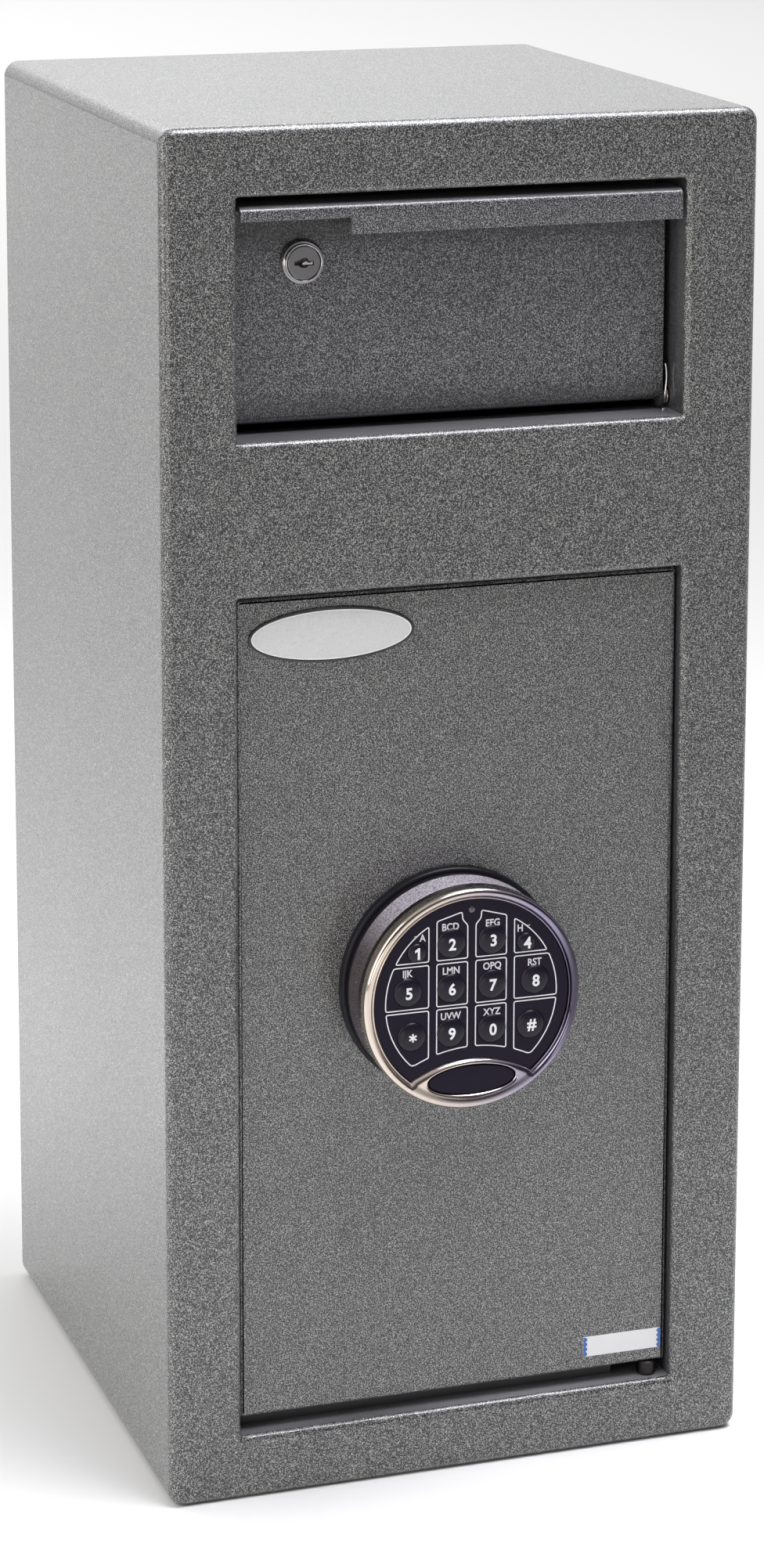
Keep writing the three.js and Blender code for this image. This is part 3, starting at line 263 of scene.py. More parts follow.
class Tree:
    """Adds nodes to a node tree. An input that is a socket is linked, and any other value is set on it."""

    def __init__(self, tree):
        self.tree = tree

    def give(self, socket, value):
        """Links a socket to a value that is a socket, or sets it."""
        if isinstance(value, bpy.types.NodeSocket):
            self.tree.links.new(value, socket)
        else:
            socket.default_value = value

    def add(self, kind, inputs=(), **settings):
        """A new node with its settings and inputs."""
        node = self.tree.nodes.new(kind)
        for key, value in settings.items():
            setattr(node, key, value)
        for key, value in dict(inputs).items():
            self.give(node.inputs[key], value)
        return node

    def math(self, operation, first, second=0.0, clamp=False):
        """One sum on two values."""
        inputs = {0: first, 1: second}
        return self.add("ShaderNodeMath", inputs, operation=operation, use_clamp=clamp).outputs[0]

    def vector(self, operation, first, second):
        """One sum on two vectors. SCALE takes a plain number as its second."""
        inputs = {0: first, "Scale" if operation == "SCALE" else 1: second}
        return self.add("ShaderNodeVectorMath", inputs, operation=operation).outputs[0]

    def ease(self, value, low, high, to_low=0.0, to_high=1.0):
        """Smooth step of a value from low to high."""
        ranges = {"Value": value, "From Min": low, "From Max": high, "To Min": to_low, "To Max": to_high}
        return self.add("ShaderNodeMapRange", ranges, interpolation_type="SMOOTHSTEP").outputs[0]

    def noise(self, vector, scale, detail=2.0, roughness=0.5, output="Fac"):
        """A noise, as a value or as a colour."""
        values = {"Vector": vector, "Scale": scale, "Detail": detail, "Roughness": roughness}
        return self.add("ShaderNodeTexNoise", values).outputs[output]

    def parts(self, vector):
        """The X, Y and Z of a vector."""
        return self.add("ShaderNodeSeparateXYZ", {0: vector}).outputs

    def blend(self, factor, first, second):
        """Mixes two colours. A plain colour has three numbers."""
        node = self.add("ShaderNodeMix", data_type="RGBA")
        self.give(node.inputs[0], factor)
        for socket, tone in zip((node.inputs[6], node.inputs[7]), (first, second)):
            self.give(socket, tone if isinstance(tone, bpy.types.NodeSocket) else (*tone, 1))
        return node.outputs[2]


def group(name, inputs, outputs):
    """An empty shader node group with named sockets: (name, kind, default) in, and names of values out."""
    tree = bpy.data.node_groups.new(name, "ShaderNodeTree")
    for label, kind, default in inputs:
        socket = tree.interface.new_socket(label, in_out="INPUT", socket_type="NodeSocket" + kind)
        if default is not None:
            socket.default_value = default
    for label in outputs:
        tree.interface.new_socket(label, in_out="OUTPUT", socket_type="NodeSocketFloat")
    nodes = Tree(tree)
    return nodes, nodes.add("NodeGroupInput").outputs, nodes.add("NodeGroupOutput")


def finish_group(nodes, end, **outputs):
    """Links a group's outputs, and gives its tree."""
    for label, socket in outputs.items():
        nodes.tree.links.new(socket, end.inputs[label])
    return nodes.tree


def hammered_flecks():
    """Short curved flecks: the edges between cells of a wavering cell pattern, broken up by a noise."""
    waver_pace, waver_reach = 1.3, 1.5
    soft_share = 0.25
    break_pace, break_low, break_high = 1.6, 0.38, 0.58
    cloud_pace = 0.31
    bowl, fleck_rise = 0.8, 0.5
    nodes, given, end = group("hammered_flecks", [
        ("Vector", "Vector", None), ("Size", "Float", 0.0012), ("Line", "Float", 0.14)],
        ["Fleck", "Cloud", "Height"])
    pace = nodes.math("DIVIDE", 1.0, given["Size"])
    waver = nodes.noise(given["Vector"], nodes.math("MULTIPLY", pace, waver_pace), 1.0, output="Color")
    centred = nodes.vector("SUBTRACT", waver, (0.5, 0.5, 0.5))
    moved = nodes.vector("SCALE", centred, nodes.math("MULTIPLY", given["Size"], waver_reach))
    place = nodes.vector("ADD", given["Vector"], moved)
    cells = nodes.add("ShaderNodeTexVoronoi", {"Vector": place, "Scale": pace}, feature="DISTANCE_TO_EDGE")
    off = cells.outputs["Distance"]
    within = nodes.ease(off, nodes.math("MULTIPLY", given["Line"], soft_share), given["Line"])
    gaps = nodes.noise(given["Vector"], nodes.math("MULTIPLY", pace, break_pace), 1.0)
    broken = nodes.ease(gaps, break_low, break_high)
    cloud = nodes.noise(given["Vector"], nodes.math("MULTIPLY", pace, cloud_pace), 2.0)
    fleck = nodes.math("MULTIPLY", nodes.math("SUBTRACT", 1.0, within), broken)
    hollow = nodes.ease(off, low=0.0, high=0.5, to_low=bowl, to_high=0.0)
    height = nodes.math("ADD", hollow, nodes.math("MULTIPLY", fleck, fleck_rise))
    return finish_group(nodes, end, Fleck=fleck, Cloud=cloud, Height=height)


def handling():
    """Faint marks of handling: a roughness that wanders about a base value, and a broad tone."""
    broad_share, fine_share, fine_pace = 0.65, 0.35, 9.0
    nodes, given, end = group("handling", [
        ("Vector", "Vector", None), ("Scale", "Float", 30.0), ("Base", "Float", 0.4),
        ("Spread", "Float", 0.1)], ["Roughness", "Tone"])
    broad = nodes.noise(given["Vector"], given["Scale"], 4.0, 0.6)
    fine = nodes.noise(given["Vector"], nodes.math("MULTIPLY", given["Scale"], fine_pace), 3.0, 0.6)
    broad_part = nodes.math("MULTIPLY", broad, broad_share)
    both = nodes.math("ADD", broad_part, nodes.math("MULTIPLY", fine, fine_share))
    swing = nodes.math("MULTIPLY", nodes.math("SUBTRACT", both, 0.5), given["Spread"])
    rough = nodes.math("ADD", given["Base"], nodes.math("MULTIPLY", swing, 2.0), clamp=True)
    return finish_group(nodes, end, Roughness=rough, Tone=broad)


def grain():
    """Fine even grain of moulded or sprayed surfaces, and the specks that stand out of it."""
    speck_pace, speck_low, speck_high = 1.7, 0.55, 0.75
    nodes, given, end = group("grain", [("Vector", "Vector", None), ("Size", "Float", 0.0004)],
                              ["Height", "Speck"])
    pace = nodes.math("DIVIDE", 1.0, given["Size"])
    coarse = nodes.noise(given["Vector"], pace, 2.0, 0.6)
    fine = nodes.noise(given["Vector"], nodes.math("MULTIPLY", pace, speck_pace), 1.0)
    return finish_group(nodes, end, Height=coarse, Speck=nodes.ease(fine, speck_low, speck_high))


def brushed_lines():
    """Lines of drawn or ground metal: a noise squeezed across the grain's direction."""
    nodes, given, end = group("brushed_lines", [
        ("Vector", "Vector", None), ("Stretch", "Vector", (1.0, 1.0, 1.0)), ("Scale", "Float", 900.0)],
        ["Height"])
    squeezed = nodes.vector("MULTIPLY", given["Vector"], given["Stretch"])
    return finish_group(nodes, end, Height=nodes.noise(squeezed, given["Scale"], 3.0, 0.65))


GROUPS = {}


def shared(maker):
    """The node group of a maker function, built once."""
    if maker not in GROUPS:
        GROUPS[maker] = maker()
    return GROUPS[maker]


class Finish(Tree):
    """A material with one Principled BSDF, whose patterns lie in the object's own coordinates."""

    def __init__(self, name, **plain):
        self.material = bpy.data.materials.new(name)
        self.material.use_nodes = True
        super().__init__(self.material.node_tree)
        self.surface = self.tree.nodes["Principled BSDF"]
        coordinates = self.add("ShaderNodeTexCoord").outputs
        self.place = coordinates["Object"]
        self.facing = coordinates["Normal"]
        for label, value in plain.items():
            self.surface.inputs[label.replace("_", " ")].default_value = value

    def use(self, maker, **inputs):
        """The outputs of a shared group with its own values."""
        node = self.add("ShaderNodeGroup", node_tree=shared(maker))
        self.tree.links.new(self.place, node.inputs["Vector"])
        for label, value in inputs.items():
            node.inputs[label].default_value = value
        return node.outputs

    def upward(self, low, high):
        """How far a face looks up, as a smooth step of its normal's height."""
        return self.ease(self.parts(self.facing)["Z"], low, high)

    def feed(self, **sockets):
        """Links sockets to the surface's inputs."""
        for label, socket in sockets.items():
            self.tree.links.new(socket, self.surface.inputs[label.replace("_", " ")])

    def bump(self, height, strength, distance):
        """Relief from a height."""
        node = self.add("ShaderNodeBump", {"Height": height, "Strength": strength, "Distance": distance})
        self.tree.links.new(node.outputs[0], self.surface.inputs["Normal"])


def panel_painted_shade(paint):
    """Painted shade on the hopper's panel: a band of painted shadow under the lip, and a band of painted
    shade along the foot.
    """
    low, high = box("hopper_panel")
    look = bpy.context.scene.safe_hopper
    place = paint.parts(paint.place)
    lip_foot = high[2] - look.lip_drop
    shadow_under_lip = paint.ease(place["Z"], lip_foot - look.thin_band, lip_foot)
    shade_at_foot = paint.ease(place["Z"], low[2] - look.sheet, low[2] + look.thin_band, 1.0, 0.0)
    behind_lip = paint.math("GREATER_THAN", place["Y"], high[1] - look.sheet - MM)
    return paint.math("MULTIPLY", paint.math("MAXIMUM", shadow_under_lip, shade_at_foot), behind_lip)


def scaled(tone, factor):
    """A colour made darker or brighter."""
    return [factor * level for level in tone]


def hammered_paint(name, look, dark, light, settled=None, painted_shade_mask=None):
    """Hammered paint: pale curved flecks over a dark ground, with metal flake in the film. Upward faces can
    carry a paler
    film: partly dust, partly painted light from above. A painted shade mask fades the flecks to a darker
    ground."""
    shade_darkness, metal_hidden = 0.6, 0.5
    paint = Finish(name, Metallic=look.paint_metal, IOR=1.5, Coat_Weight=look.paint_coat, Coat_Roughness=0.17)
    flecks = paint.use(hammered_flecks, Size=look.fleck_size)
    marks = paint.use(handling, Scale=6.0, Base=look.paint_roughness, Spread=0.08)
    clouds = paint.ease(flecks["Cloud"], low=0.3, high=0.6, to_low=0.92)
    tone = paint.blend(paint.math("MULTIPLY", flecks["Fleck"], clouds), dark, light)
    # Painted shade: where the mask is set, the tone fades to a darker ground.
    if painted_shade_mask:
        thin = paint.math("MULTIPLY", painted_shade_mask(paint), look.thin_paint)
        tone = paint.blend(thin, tone, scaled(dark, shade_darkness))
    # Paler film on upward faces: partly dust, partly painted light from above.
    if settled:
        thickness = paint.ease(marks["Tone"], low=0.2, high=0.7, to_low=0.4, to_high=0.75)
        film = paint.math("MULTIPLY", paint.upward(low=0.4, high=0.95), thickness)
        tone = paint.blend(film, tone, settled)
        hidden = paint.math("MULTIPLY", film, metal_hidden)
        paint.feed(Metallic=paint.math("SUBTRACT", look.paint_metal, hidden))
    paint.feed(Base_Color=tone, Roughness=marks["Roughness"])
    paint.bump(flecks["Height"], strength=0.35, distance=look.fleck_depth)
    return paint.material


def smooth_paint(name, tone, roughness):
    """Plain paint with a little orange peel."""
    darker, brighter = 0.75, 1.3
    paint = Finish(name, Metallic=0.1)
    marks = paint.use(handling, Scale=18.0, Base=roughness, Spread=0.15)
    peel = paint.use(grain, Size=1.6 * MM)
    paint.feed(Base_Color=paint.blend(marks["Tone"], scaled(tone, darker), scaled(tone, brighter)),
               Roughness=marks["Roughness"])
    paint.bump(peel["Height"], strength=0.15, distance=0.1 * MM)
    return paint.material


def plated(name, tone, tint, roughness, stretch=(1.0, 1.0, 1.0)):
    """Plated or drawn metal: brushed lines, and a tint that comes and goes in the plating."""
    metal = Finish(name, Metallic=1.0)
    lines = metal.use(brushed_lines, Stretch=stretch)
    marks = metal.use(handling, Scale=45.0, Base=roughness, Spread=0.12)
    metal.feed(Base_Color=metal.blend(marks["Tone"], tone, tint), Roughness=marks["Roughness"])
    metal.bump(lines["Height"], strength=0.12, distance=0.05 * MM)
    return metal.material


def sprayed_metal(name, brown, grey, glitter):
    """Satin sprayed metal with a fine sparkle. Upward faces turn to the sparkle's pale colour in patches, as
    a painted highlight from above.
    """
    speck_share = 0.7
    metal = Finish(name, Metallic=0.9)
    texture = metal.use(grain, Size=0.8 * MM)
    marks = metal.use(handling, Scale=35.0, Base=0.56, Spread=0.15)
    base = metal.blend(marks["Tone"], brown, grey)
    patches = metal.ease(texture["Height"], low=0.4, high=0.6, to_low=0.3)
    # Painted highlight: upward faces, in patches, take the pale sparkle colour.
    settled = metal.math("MULTIPLY", metal.upward(low=0.35, high=0.85), patches)
    sparkle = metal.math("MAXIMUM", settled, metal.math("MULTIPLY", texture["Speck"], speck_share))
    metal.feed(Base_Color=metal.blend(sparkle, base, glitter), Roughness=marks["Roughness"])
    metal.bump(texture["Height"], strength=1.0, distance=0.7 * MM)
    return metal.material


def polished(name, left, right, far, half_width, roughness):
    """Polished plating: a mirror with faint wiping marks. Its colour is a painted reflection that drifts from
    one tint at one side to another at the other side, and turns to the far tint, a painted shade, about the
    half width."""
    far_start, far_end = 0.85, 1.2
    wander_share = 0.3
    chrome = Finish(name, Metallic=1.0)
    marks = chrome.use(handling, Scale=60.0, Base=roughness, Spread=0.04)
    sideways = chrome.parts(chrome.place)["X"]
    across = chrome.ease(sideways, -half_width, half_width)
    past = chrome.ease(sideways, far_start * half_width, far_end * half_width)
    wander = chrome.math("MULTIPLY", chrome.math("SUBTRACT", marks["Tone"], 0.5), wander_share)
    drift = chrome.math("ADD", across, wander, clamp=True)
    # Painted reflection and painted shade: the tint follows the object's X.
    tint = chrome.blend(past, chrome.blend(drift, left, right), far)
    chrome.feed(Base_Color=tint, Roughness=marks["Roughness"])
    return chrome.material


def moulded(name, tone, speck, roughness, size=0.5 * MM, depth=0.05 * MM, **plain):
    """Moulded plastic, rubber or printed film with a grain of this size and depth."""
    plastic = Finish(name, **plain)
    texture = plastic.use(grain, Size=size)
    marks = plastic.use(handling, Scale=40.0, Base=roughness, Spread=0.12)
    plastic.feed(Base_Color=plastic.blend(texture["Speck"], tone, speck), Roughness=marks["Roughness"])
    plastic.bump(texture["Height"], strength=0.25, distance=depth)
    return plastic.material


def traces_board(name):
    """A green board with paler tracks under the lacquer."""
    board = Finish(name, Coat_Weight=0.5, Coat_Roughness=0.2)
    cells = board.add("ShaderNodeTexBrick", {"Vector": board.place, "Scale": 180.0, "Mortar Size": 0.03,
                                             "Color1": (0.02, 0.12, 0.05, 1), "Color2": (0.03, 0.16, 0.07, 1),
                                             "Mortar": (0.1, 0.3, 0.12, 1)})
    marks = board.use(handling, Scale=50.0, Base=0.4, Spread=0.1)
    board.feed(Base_Color=cells.outputs["Color"], Roughness=marks["Roughness"])
    return board.material


# Finishes by name. Each maker takes the finish's name and the colours of the settings.

FINISHES = {
    "cabinet_paint": lambda name, look: hammered_paint(name, look, look.paint_dark, look.paint_light),
    # The hopper's paint carries a painted shadow under the lip and painted shade at the foot.
    "hopper_paint": lambda name, look: hammered_paint(name, look, look.hopper_dark, look.hopper_light,
                                                      look.settled, panel_painted_shade),
    # Inside the windows the paint is darker on the whole: painted shade of the recesses.
    "recess_paint": lambda name, look: hammered_paint(name, look, look.recess_dark, look.recess_light,
                                                      look.sill_film),
    "inner_paint": lambda name, look: smooth_paint(name, look.inner_paint, 0.5),
    "zinc": lambda name, look: plated(name, (0.62, 0.63, 0.64), (0.5, 0.51, 0.5), 0.32, (0.08, 1.0, 1.0)),
    "black_steel": lambda name, look: plated(name, (0.045, 0.043, 0.042), (0.03, 0.028, 0.028), 0.4),
    "spring_wire": lambda name, look: plated(name, (0.75, 0.75, 0.76), (0.6, 0.6, 0.62), 0.2),
    "brass": lambda name, look: plated(name, (0.72, 0.53, 0.25), (0.6, 0.42, 0.18), 0.28),
    "plug_metal": lambda name, look: plated(name, (0.3, 0.285, 0.29), (0.22, 0.21, 0.215), 0.3,
                                            (0.3, 1.0, 1.0)),
    "chrome": lambda name, look: polished(name, look.chrome_warm, look.chrome_cool, look.chrome_far,
                                          40 * MM, 0.08),
    # The cam lock's chrome: a lit copy and a painted shaded copy, by X.
    "lock_chrome": lambda name, look: polished(name, look.lock_bright, look.lock_shade, look.lock_shade,
                                               40 * MM, 0.1),
    "drum_metal": lambda name, look: sprayed_metal(name, look.drum_brown, look.drum_grey, look.drum_glitter),
    "keypad_plastic": lambda name, look: moulded(name, (0.008, 0.0075, 0.011), (0.012, 0.011, 0.015), 0.36,
                                                 0.6 * MM, 0.06 * MM, Specular_IOR_Level=0.2),
    "keypad_face": lambda name, look: moulded(name, look.face_black, look.face_speck, 0.34,
                                              0.5 * MM, 0.04 * MM, Specular_IOR_Level=0.15),
    "key_rubber": lambda name, look: moulded(name, look.key_black, look.face_speck, 0.3,
                                             0.5 * MM, 0.05 * MM, Specular_IOR_Level=0.3),
    "white_print": lambda name, look: moulded(name, (0.82, 0.82, 0.84), (0.72, 0.72, 0.74), 0.45,
                                              0.3 * MM, 0.02 * MM),
    "grey_print": lambda name, look: moulded(name, (0.66, 0.66, 0.7), (0.56, 0.56, 0.6), 0.45,
                                             0.3 * MM, 0.02 * MM),
    "badge_rim": lambda name, look: moulded(name, (0.01, 0.01, 0.012), (0.014, 0.014, 0.016), 0.2,
                                            1 * MM, 0.01 * MM, Coat_Weight=0.6, Coat_Roughness=0.05),
    "badge_line": lambda name, look: moulded(name, (0.85, 0.86, 0.86), (0.8, 0.8, 0.8), 0.3,
                                             1 * MM, 0.01 * MM),
    "badge_plate": lambda name, look: moulded(name, look.badge_silver, (0.52, 0.53, 0.53), 0.26,
                                              1.2 * MM, 0.01 * MM, Coat_Weight=0.5, Coat_Roughness=0.06),
    "label_stock": lambda name, look: moulded(name, (0.78, 0.79, 0.8), (0.7, 0.71, 0.72), 0.4,
                                              0.8 * MM, 0.02 * MM),
    "label_blue": lambda name, look: moulded(name, (0.05, 0.14, 0.42), (0.07, 0.18, 0.48), 0.4,
                                             0.8 * MM, 0.02 * MM),
    "led_lens": lambda name, look: moulded(name, (0.06, 0.055, 0.06), (0.08, 0.07, 0.075), 0.15,
                                           0.6 * MM, 0.01 * MM, Coat_Weight=0.8),
    "circuit_board": lambda name, look: traces_board(name),
    "battery_case": lambda name, look: smooth_paint(name, (0.03, 0.06, 0.18), 0.35),
    "floor": lambda name, look: moulded(name, look.floor, look.floor, 0.85, 20 * MM, 0.01 * MM),
}
MATERIALS = {}


def finish(name):
    """The material of that name, made the first time that it is asked for."""
    if name not in MATERIALS:
        MATERIALS[name] = FINISHES[name](name, bpy.context.scene.safe_finish)
    return MATERIALS[name]


# Settings


def length(name, description, millimetres):
    """A property that is a length."""
    return FloatProperty(name=name, description=description, default=millimetres * MM, unit="LENGTH",
                         precision=5)


def colour(name, description, *value):
    """A property that is a colour."""
    return FloatVectorProperty(name=name, description=description, default=value, subtype="COLOR",
                               min=0, max=1)


def number(name, description, value):
    """A property that is a plain number."""
    return FloatProperty(name=name, description=description, default=value)


def power(name, description, watts):
    """A property that is a light's power."""
    return FloatProperty(name=name, description=description, default=watts, unit="POWER")


class CabinetSettings(bpy.types.PropertyGroup):
    """Sizes of the folded cabinet."""
    sheet: length("Sheet", "Thickness of the cabinet's sheet", 3)
    long_edge: length("Long edges", "Radius of the folds that run front to back", 8)
    front_edge: length("Front edge", "Radius of the edge round the front plate", 5)
    back_edge: length("Back edge", "Radius of the edge round the back plate", 3)
    window_edge: length("Window edge", "Radius of the sheet where it turns into a window", 2.9)
    window_corner: length("Window corner", "Radius of each window's corners", 1.5)
    fixing_hole: length("Fixing hole", "Radius of the holes in the base", 6)
    fixing_spacing: length("Fixing spacing", "Distance between the two holes in the base", 160)
    unevenness: length("Unevenness", "How far the hand-ground window edges wander", 0.5)


class DoorSettings(bpy.types.PropertyGroup):
    """Sizes of the door, its pins and its plates."""
    edge: length("Door edge", "Radius round the door's front", 2)
    corner: length("Door corner", "Radius of the door's corners", 1.5)
    pin: length("Hinge pin", "Radius of the hinge pins", 3)
    bolt_chamfer: length("Bolt chamfer", "Chamfer on the tip of each bolt", 1.2)
    badge_border: length("Badge border", "Width of the badge's dark border", 1.5)
    badge_line: length("Badge line", "Width of the badge's pale line", 0.7)
    label_end: length("Label end", "Width of the coloured strip at each end of the label", 2.2)
    label_teeth: IntProperty(name="Label teeth", description="Points along each coloured strip", default=4)


class KeypadSettings(bpy.types.PropertyGroup):
    """Sizes of the rotary keypad."""
    face_radius: length("Face radius", "Inside radius of the bezel", 50)
    skirt: length("Drum skirt", "Width of the dark ring at the drum's rear", 4.2)
    bead: length("Bead", "Width of the thin bead inside the bezel", 0.9)
    crescent_radius: length("Crescent radius", "Radius of the crescent's upper edge", 60)
    crescent_top: length("Crescent top", "Height of the crescent's upper edge, from the dial's centre", -30.6)
    key_radius: length("Key radius", "Radius of each domed key", 7.2)
    corner_key_radius: length("Corner key radius", "Radius of the two small domes, 1 and 4", 4.9)
    key_rise: length("Key rise", "Height of each dome over the face", 2)
    outline_width: length("Outline width", "Width of the printed line round each key", 0.55)
    outline_reach: length("Outline reach", "Radius of the outer edge of the printed lines", 43.8)
    outline_corner: length("Outline corner", "Radius of the printed lines' corners", 1.1)
    column_inner: length("Inner column edge", "Distance from the middle to the inner columns", 2.1)
    column_outer: length("Outer column edge", "Distance from the middle to the inner columns' far edge", 17.8)
    column_far: length("Far column edge", "Distance from the middle to the outer columns", 21.9)
    digit_height: length("Digit height", "Height of the numbers", 5.7)
    digit_stroke: length("Digit stroke", "How far each side of the numbers' strokes is thickened", 0.22)
    letter_height: length("Letter height", "Height of the letters", 3.6)


class HopperSettings(bpy.types.PropertyGroup):
    """Sizes of the tilting hopper and its lock."""
    sheet: length("Panel sheet", "Thickness of the hopper's panel", 2.5)
    bend: length("Lip bend", "Outside radius of the lip's fold", 4)
    foot_roll: length("Foot roll", "Radius of the roll at the panel's foot", 4)
    notch_from_left: length("Notch", "Distance from the window's left edge to the notch in the lip", 56.6)
    notch_drop: length("Notch drop", "Height of the lip left of the notch", 7)
    lip_drop: length("Lip drop", "Height of the lip right of the notch", 15)
    # Height of the bands of painted shade under the lip and at the panel's foot.
    thin_band: length("Thin band", "Height of the band of thin paint under the lip and at the foot", 15)
    wire: length("Spring wire", "Radius of the return spring's wire", 0.45)
    coil: length("Spring coil", "Radius of the return spring's coil", 4.4)
    coil_pitch: length("Spring pitch", "Sideways step of each turn", 1.4)
    leg_bow: length("Leg bow", "How far the spring's leg bows out", 0.8)
    coil_turns: number("Spring turns", "Turns of the return spring", 1.25)
    collar: length("Lock collar", "Outside radius of the lock's raised ring", 9.3)
    keyway_width: length("Keyway width", "Width of the keyway", 9.6)
    keyway_height: length("Keyway height", "Height of the keyway at its middle", 4.6)


class FinishSettings(bpy.types.PropertyGroup):
    """Colours and textures."""
    paint_dark: colour("Paint ground", "Dark ground of the hammered paint", 0.02, 0.0205, 0.0215)
    paint_light: colour("Paint flecks", "Pale flecks of the hammered paint", 0.484, 0.491, 0.479)
    hopper_dark: colour("Hopper ground", "Dark ground of the hopper's paint", 0.018, 0.018, 0.021)
    hopper_light: colour("Hopper flecks", "Pale flecks of the hopper's paint", 0.46, 0.46, 0.485)
    # Paler film on the hopper's upward faces: partly dust, partly painted light from above.
    settled: colour("Settled dust", "Pale film on upward faces of the hopper", 0.26, 0.265, 0.28)
    # Paler film on the windows' sills: partly dust, partly painted light from above.
    sill_film: colour("Sill film", "Pale film on the windows' sills", 0.28, 0.28, 0.295)
    # How far the painted shade darkens the hopper's panel.
    thin_paint: number("Thin paint", "How far the ground shows where the spray reached least", 0.62)
    # Darker paint inside the windows: painted shade of the recesses.
    recess_dark: colour("Recess ground", "Ground of the thinner paint inside the windows", 0.05, 0.05, 0.056)
    recess_light: colour("Recess flecks", "Flecks of the thinner paint inside the windows", 0.22, 0.22, 0.23)
    inner_paint: colour("Inner paint", "Paint on the hidden sheet pieces", 0.05, 0.052, 0.056)
    fleck_size: length("Fleck size", "Spacing of the flecks", 0.97)
    fleck_depth: length("Fleck depth", "Relief of the hammered paint", 0.12)
    paint_metal: number("Paint metal", "Share of metal flake in the paint", 0.35)
    paint_coat: number("Paint coat", "Gloss over the paint", 0.8)
    paint_roughness: number("Paint roughness", "Roughness of the paint", 0.42)
    # Painted reflection in the bezel: warm at the left, cool at the right; painted shade at its right edge.
    chrome_warm: colour("Warm chrome", "Plating at the left", 0.69, 0.6, 0.52)
    chrome_cool: colour("Cool chrome", "Plating at the right", 0.29, 0.265, 0.37)
    chrome_far: colour("Far chrome", "Plating at the right edge", 0.08, 0.07, 0.1)
    # The lock's chrome, and a painted shaded copy of it.
    lock_bright: colour("Lock chrome", "Plating of the cam lock", 0.5, 0.5, 0.51)
    lock_shade: colour("Lock chrome, shaded", "Darker plating of the cam lock", 0.36, 0.36, 0.38)
    drum_brown: colour("Drum brown", "Warm tone of the drum", 0.125, 0.095, 0.085)
    drum_grey: colour("Drum grey", "Cool tone of the drum", 0.095, 0.078, 0.09)
    # Also the colour of the painted highlight on the drum's upward faces.
    drum_glitter: colour("Drum glitter", "Sparkle in the drum's finish", 0.85, 0.8, 0.9)
    face_black: colour("Face black", "Overlay of the keypad's face", 0.009, 0.0062, 0.017)
    face_speck: colour("Face speck", "Grain in the overlay and keys", 0.014, 0.0105, 0.025)
    key_black: colour("Key black", "Rubber of the keys", 0.009, 0.007, 0.015)
    badge_silver: colour("Badge silver", "Face of the badge", 0.64, 0.65, 0.65)
    floor: colour("Floor", "Pale floor", 0.86, 0.86, 0.86)


class StageSettings(bpy.types.PropertyGroup):
    """Camera, floor and studio light."""
    lens: FloatProperty(name="Lens", description="Focal length in millimetres", default=95.11)
    camera_place: FloatVectorProperty(name="Camera place", description="Where the camera stands",
                                      default=(-0.65267, -1.98180, 0.91509), subtype="TRANSLATION",
                                      unit="LENGTH")
    camera_turn: FloatVectorProperty(name="Camera turn", description="The camera's pitch, roll and yaw",
                                     default=(radians(79.297), radians(-0.10), radians(-18.466)),
                                     subtype="EULER", unit="ROTATION")
    shift: number("Shift", "How far the lens is shifted down", -0.25)
    floor_size: FloatProperty(name="Floor size", description="Radius of the floor", default=40, unit="LENGTH")
    room_light: number("Room light", "Brightness of the pale room", 0.9)
    ceiling_light: number("Ceiling", "Brightness of the ceiling", 0.6)
    front_shade: number("Front shade", "Brightness of the room in front of the object", 0.11)
    right_shade: number("Right shade", "How much darker the room is at the right", 0.5)
    left_tint: colour("Left tint", "Tint of the room at the front left", 1.0, 0.88, 0.74)
    right_tint: colour("Right tint", "Tint of the room at the front right", 0.84, 0.82, 1.0)
    key_power: power("Key light", "Power of the large light at the left", 23)
    top_power: power("Top light", "Power of the light overhead", 15)
    back_power: power("Back light", "Power of the light on the floor behind", 300)
    warm_power: power("Warm light", "Power of the low warm light", 5)


# Cabinet

# Waves round a window's edge: how many, and the height and phase of each
EDGE_WAVES = ((9, 0.5, 0.4), (23, 0.35, 1.9), (67, 0.4, 4.1), (131, 0.25, 2.2))
WINDOW_SIDE_STEPS = 60


def cabinet_outline(settings):
    """The cabinet's outline seen from the front."""
    low, high = box("body_shell")
    return rectangle(low[0], low[2], high[0], high[2], settings.long_edge)


def window_rectangle(node):
    """A window's four sides, from the sleeve round it: the sleeve's outside less its sheet."""
    sheet = bpy.context.scene.safe_cabinet.sheet
    low, high = box(node)
    return low[0] + sheet, low[2] + sheet, high[0] - sheet, high[2] - sheet


def window_outline(node, settings):
    """A window's outline, with points along its sides for the edge that wanders."""
    return rectangle(*window_rectangle(node), settings.window_corner, along=WINDOW_SIDE_STEPS)


def cabinet_shell(settings):
    """The wrapped body: the cabinet's outline drawn from front to back, one sheet thick, with two base
    holes."""
    low, high = box("body_shell")
    sheet = settings.sheet
    profile = np.array([(0, low[1]), (0, high[1]), (-sheet, high[1]), (-sheet, low[1])])
    holes = [rod((side * settings.fixing_spacing / 2, 0), settings.fixing_hole, -sheet, 2 * sheet, "z")
             for side in (-1, 1)]
    piece("cabinet_shell", "cabinet", finish("cabinet_paint"),
          [skin(carried(cabinet_outline(settings), profile), closed=True)], ["body_shell"], drill=holes)


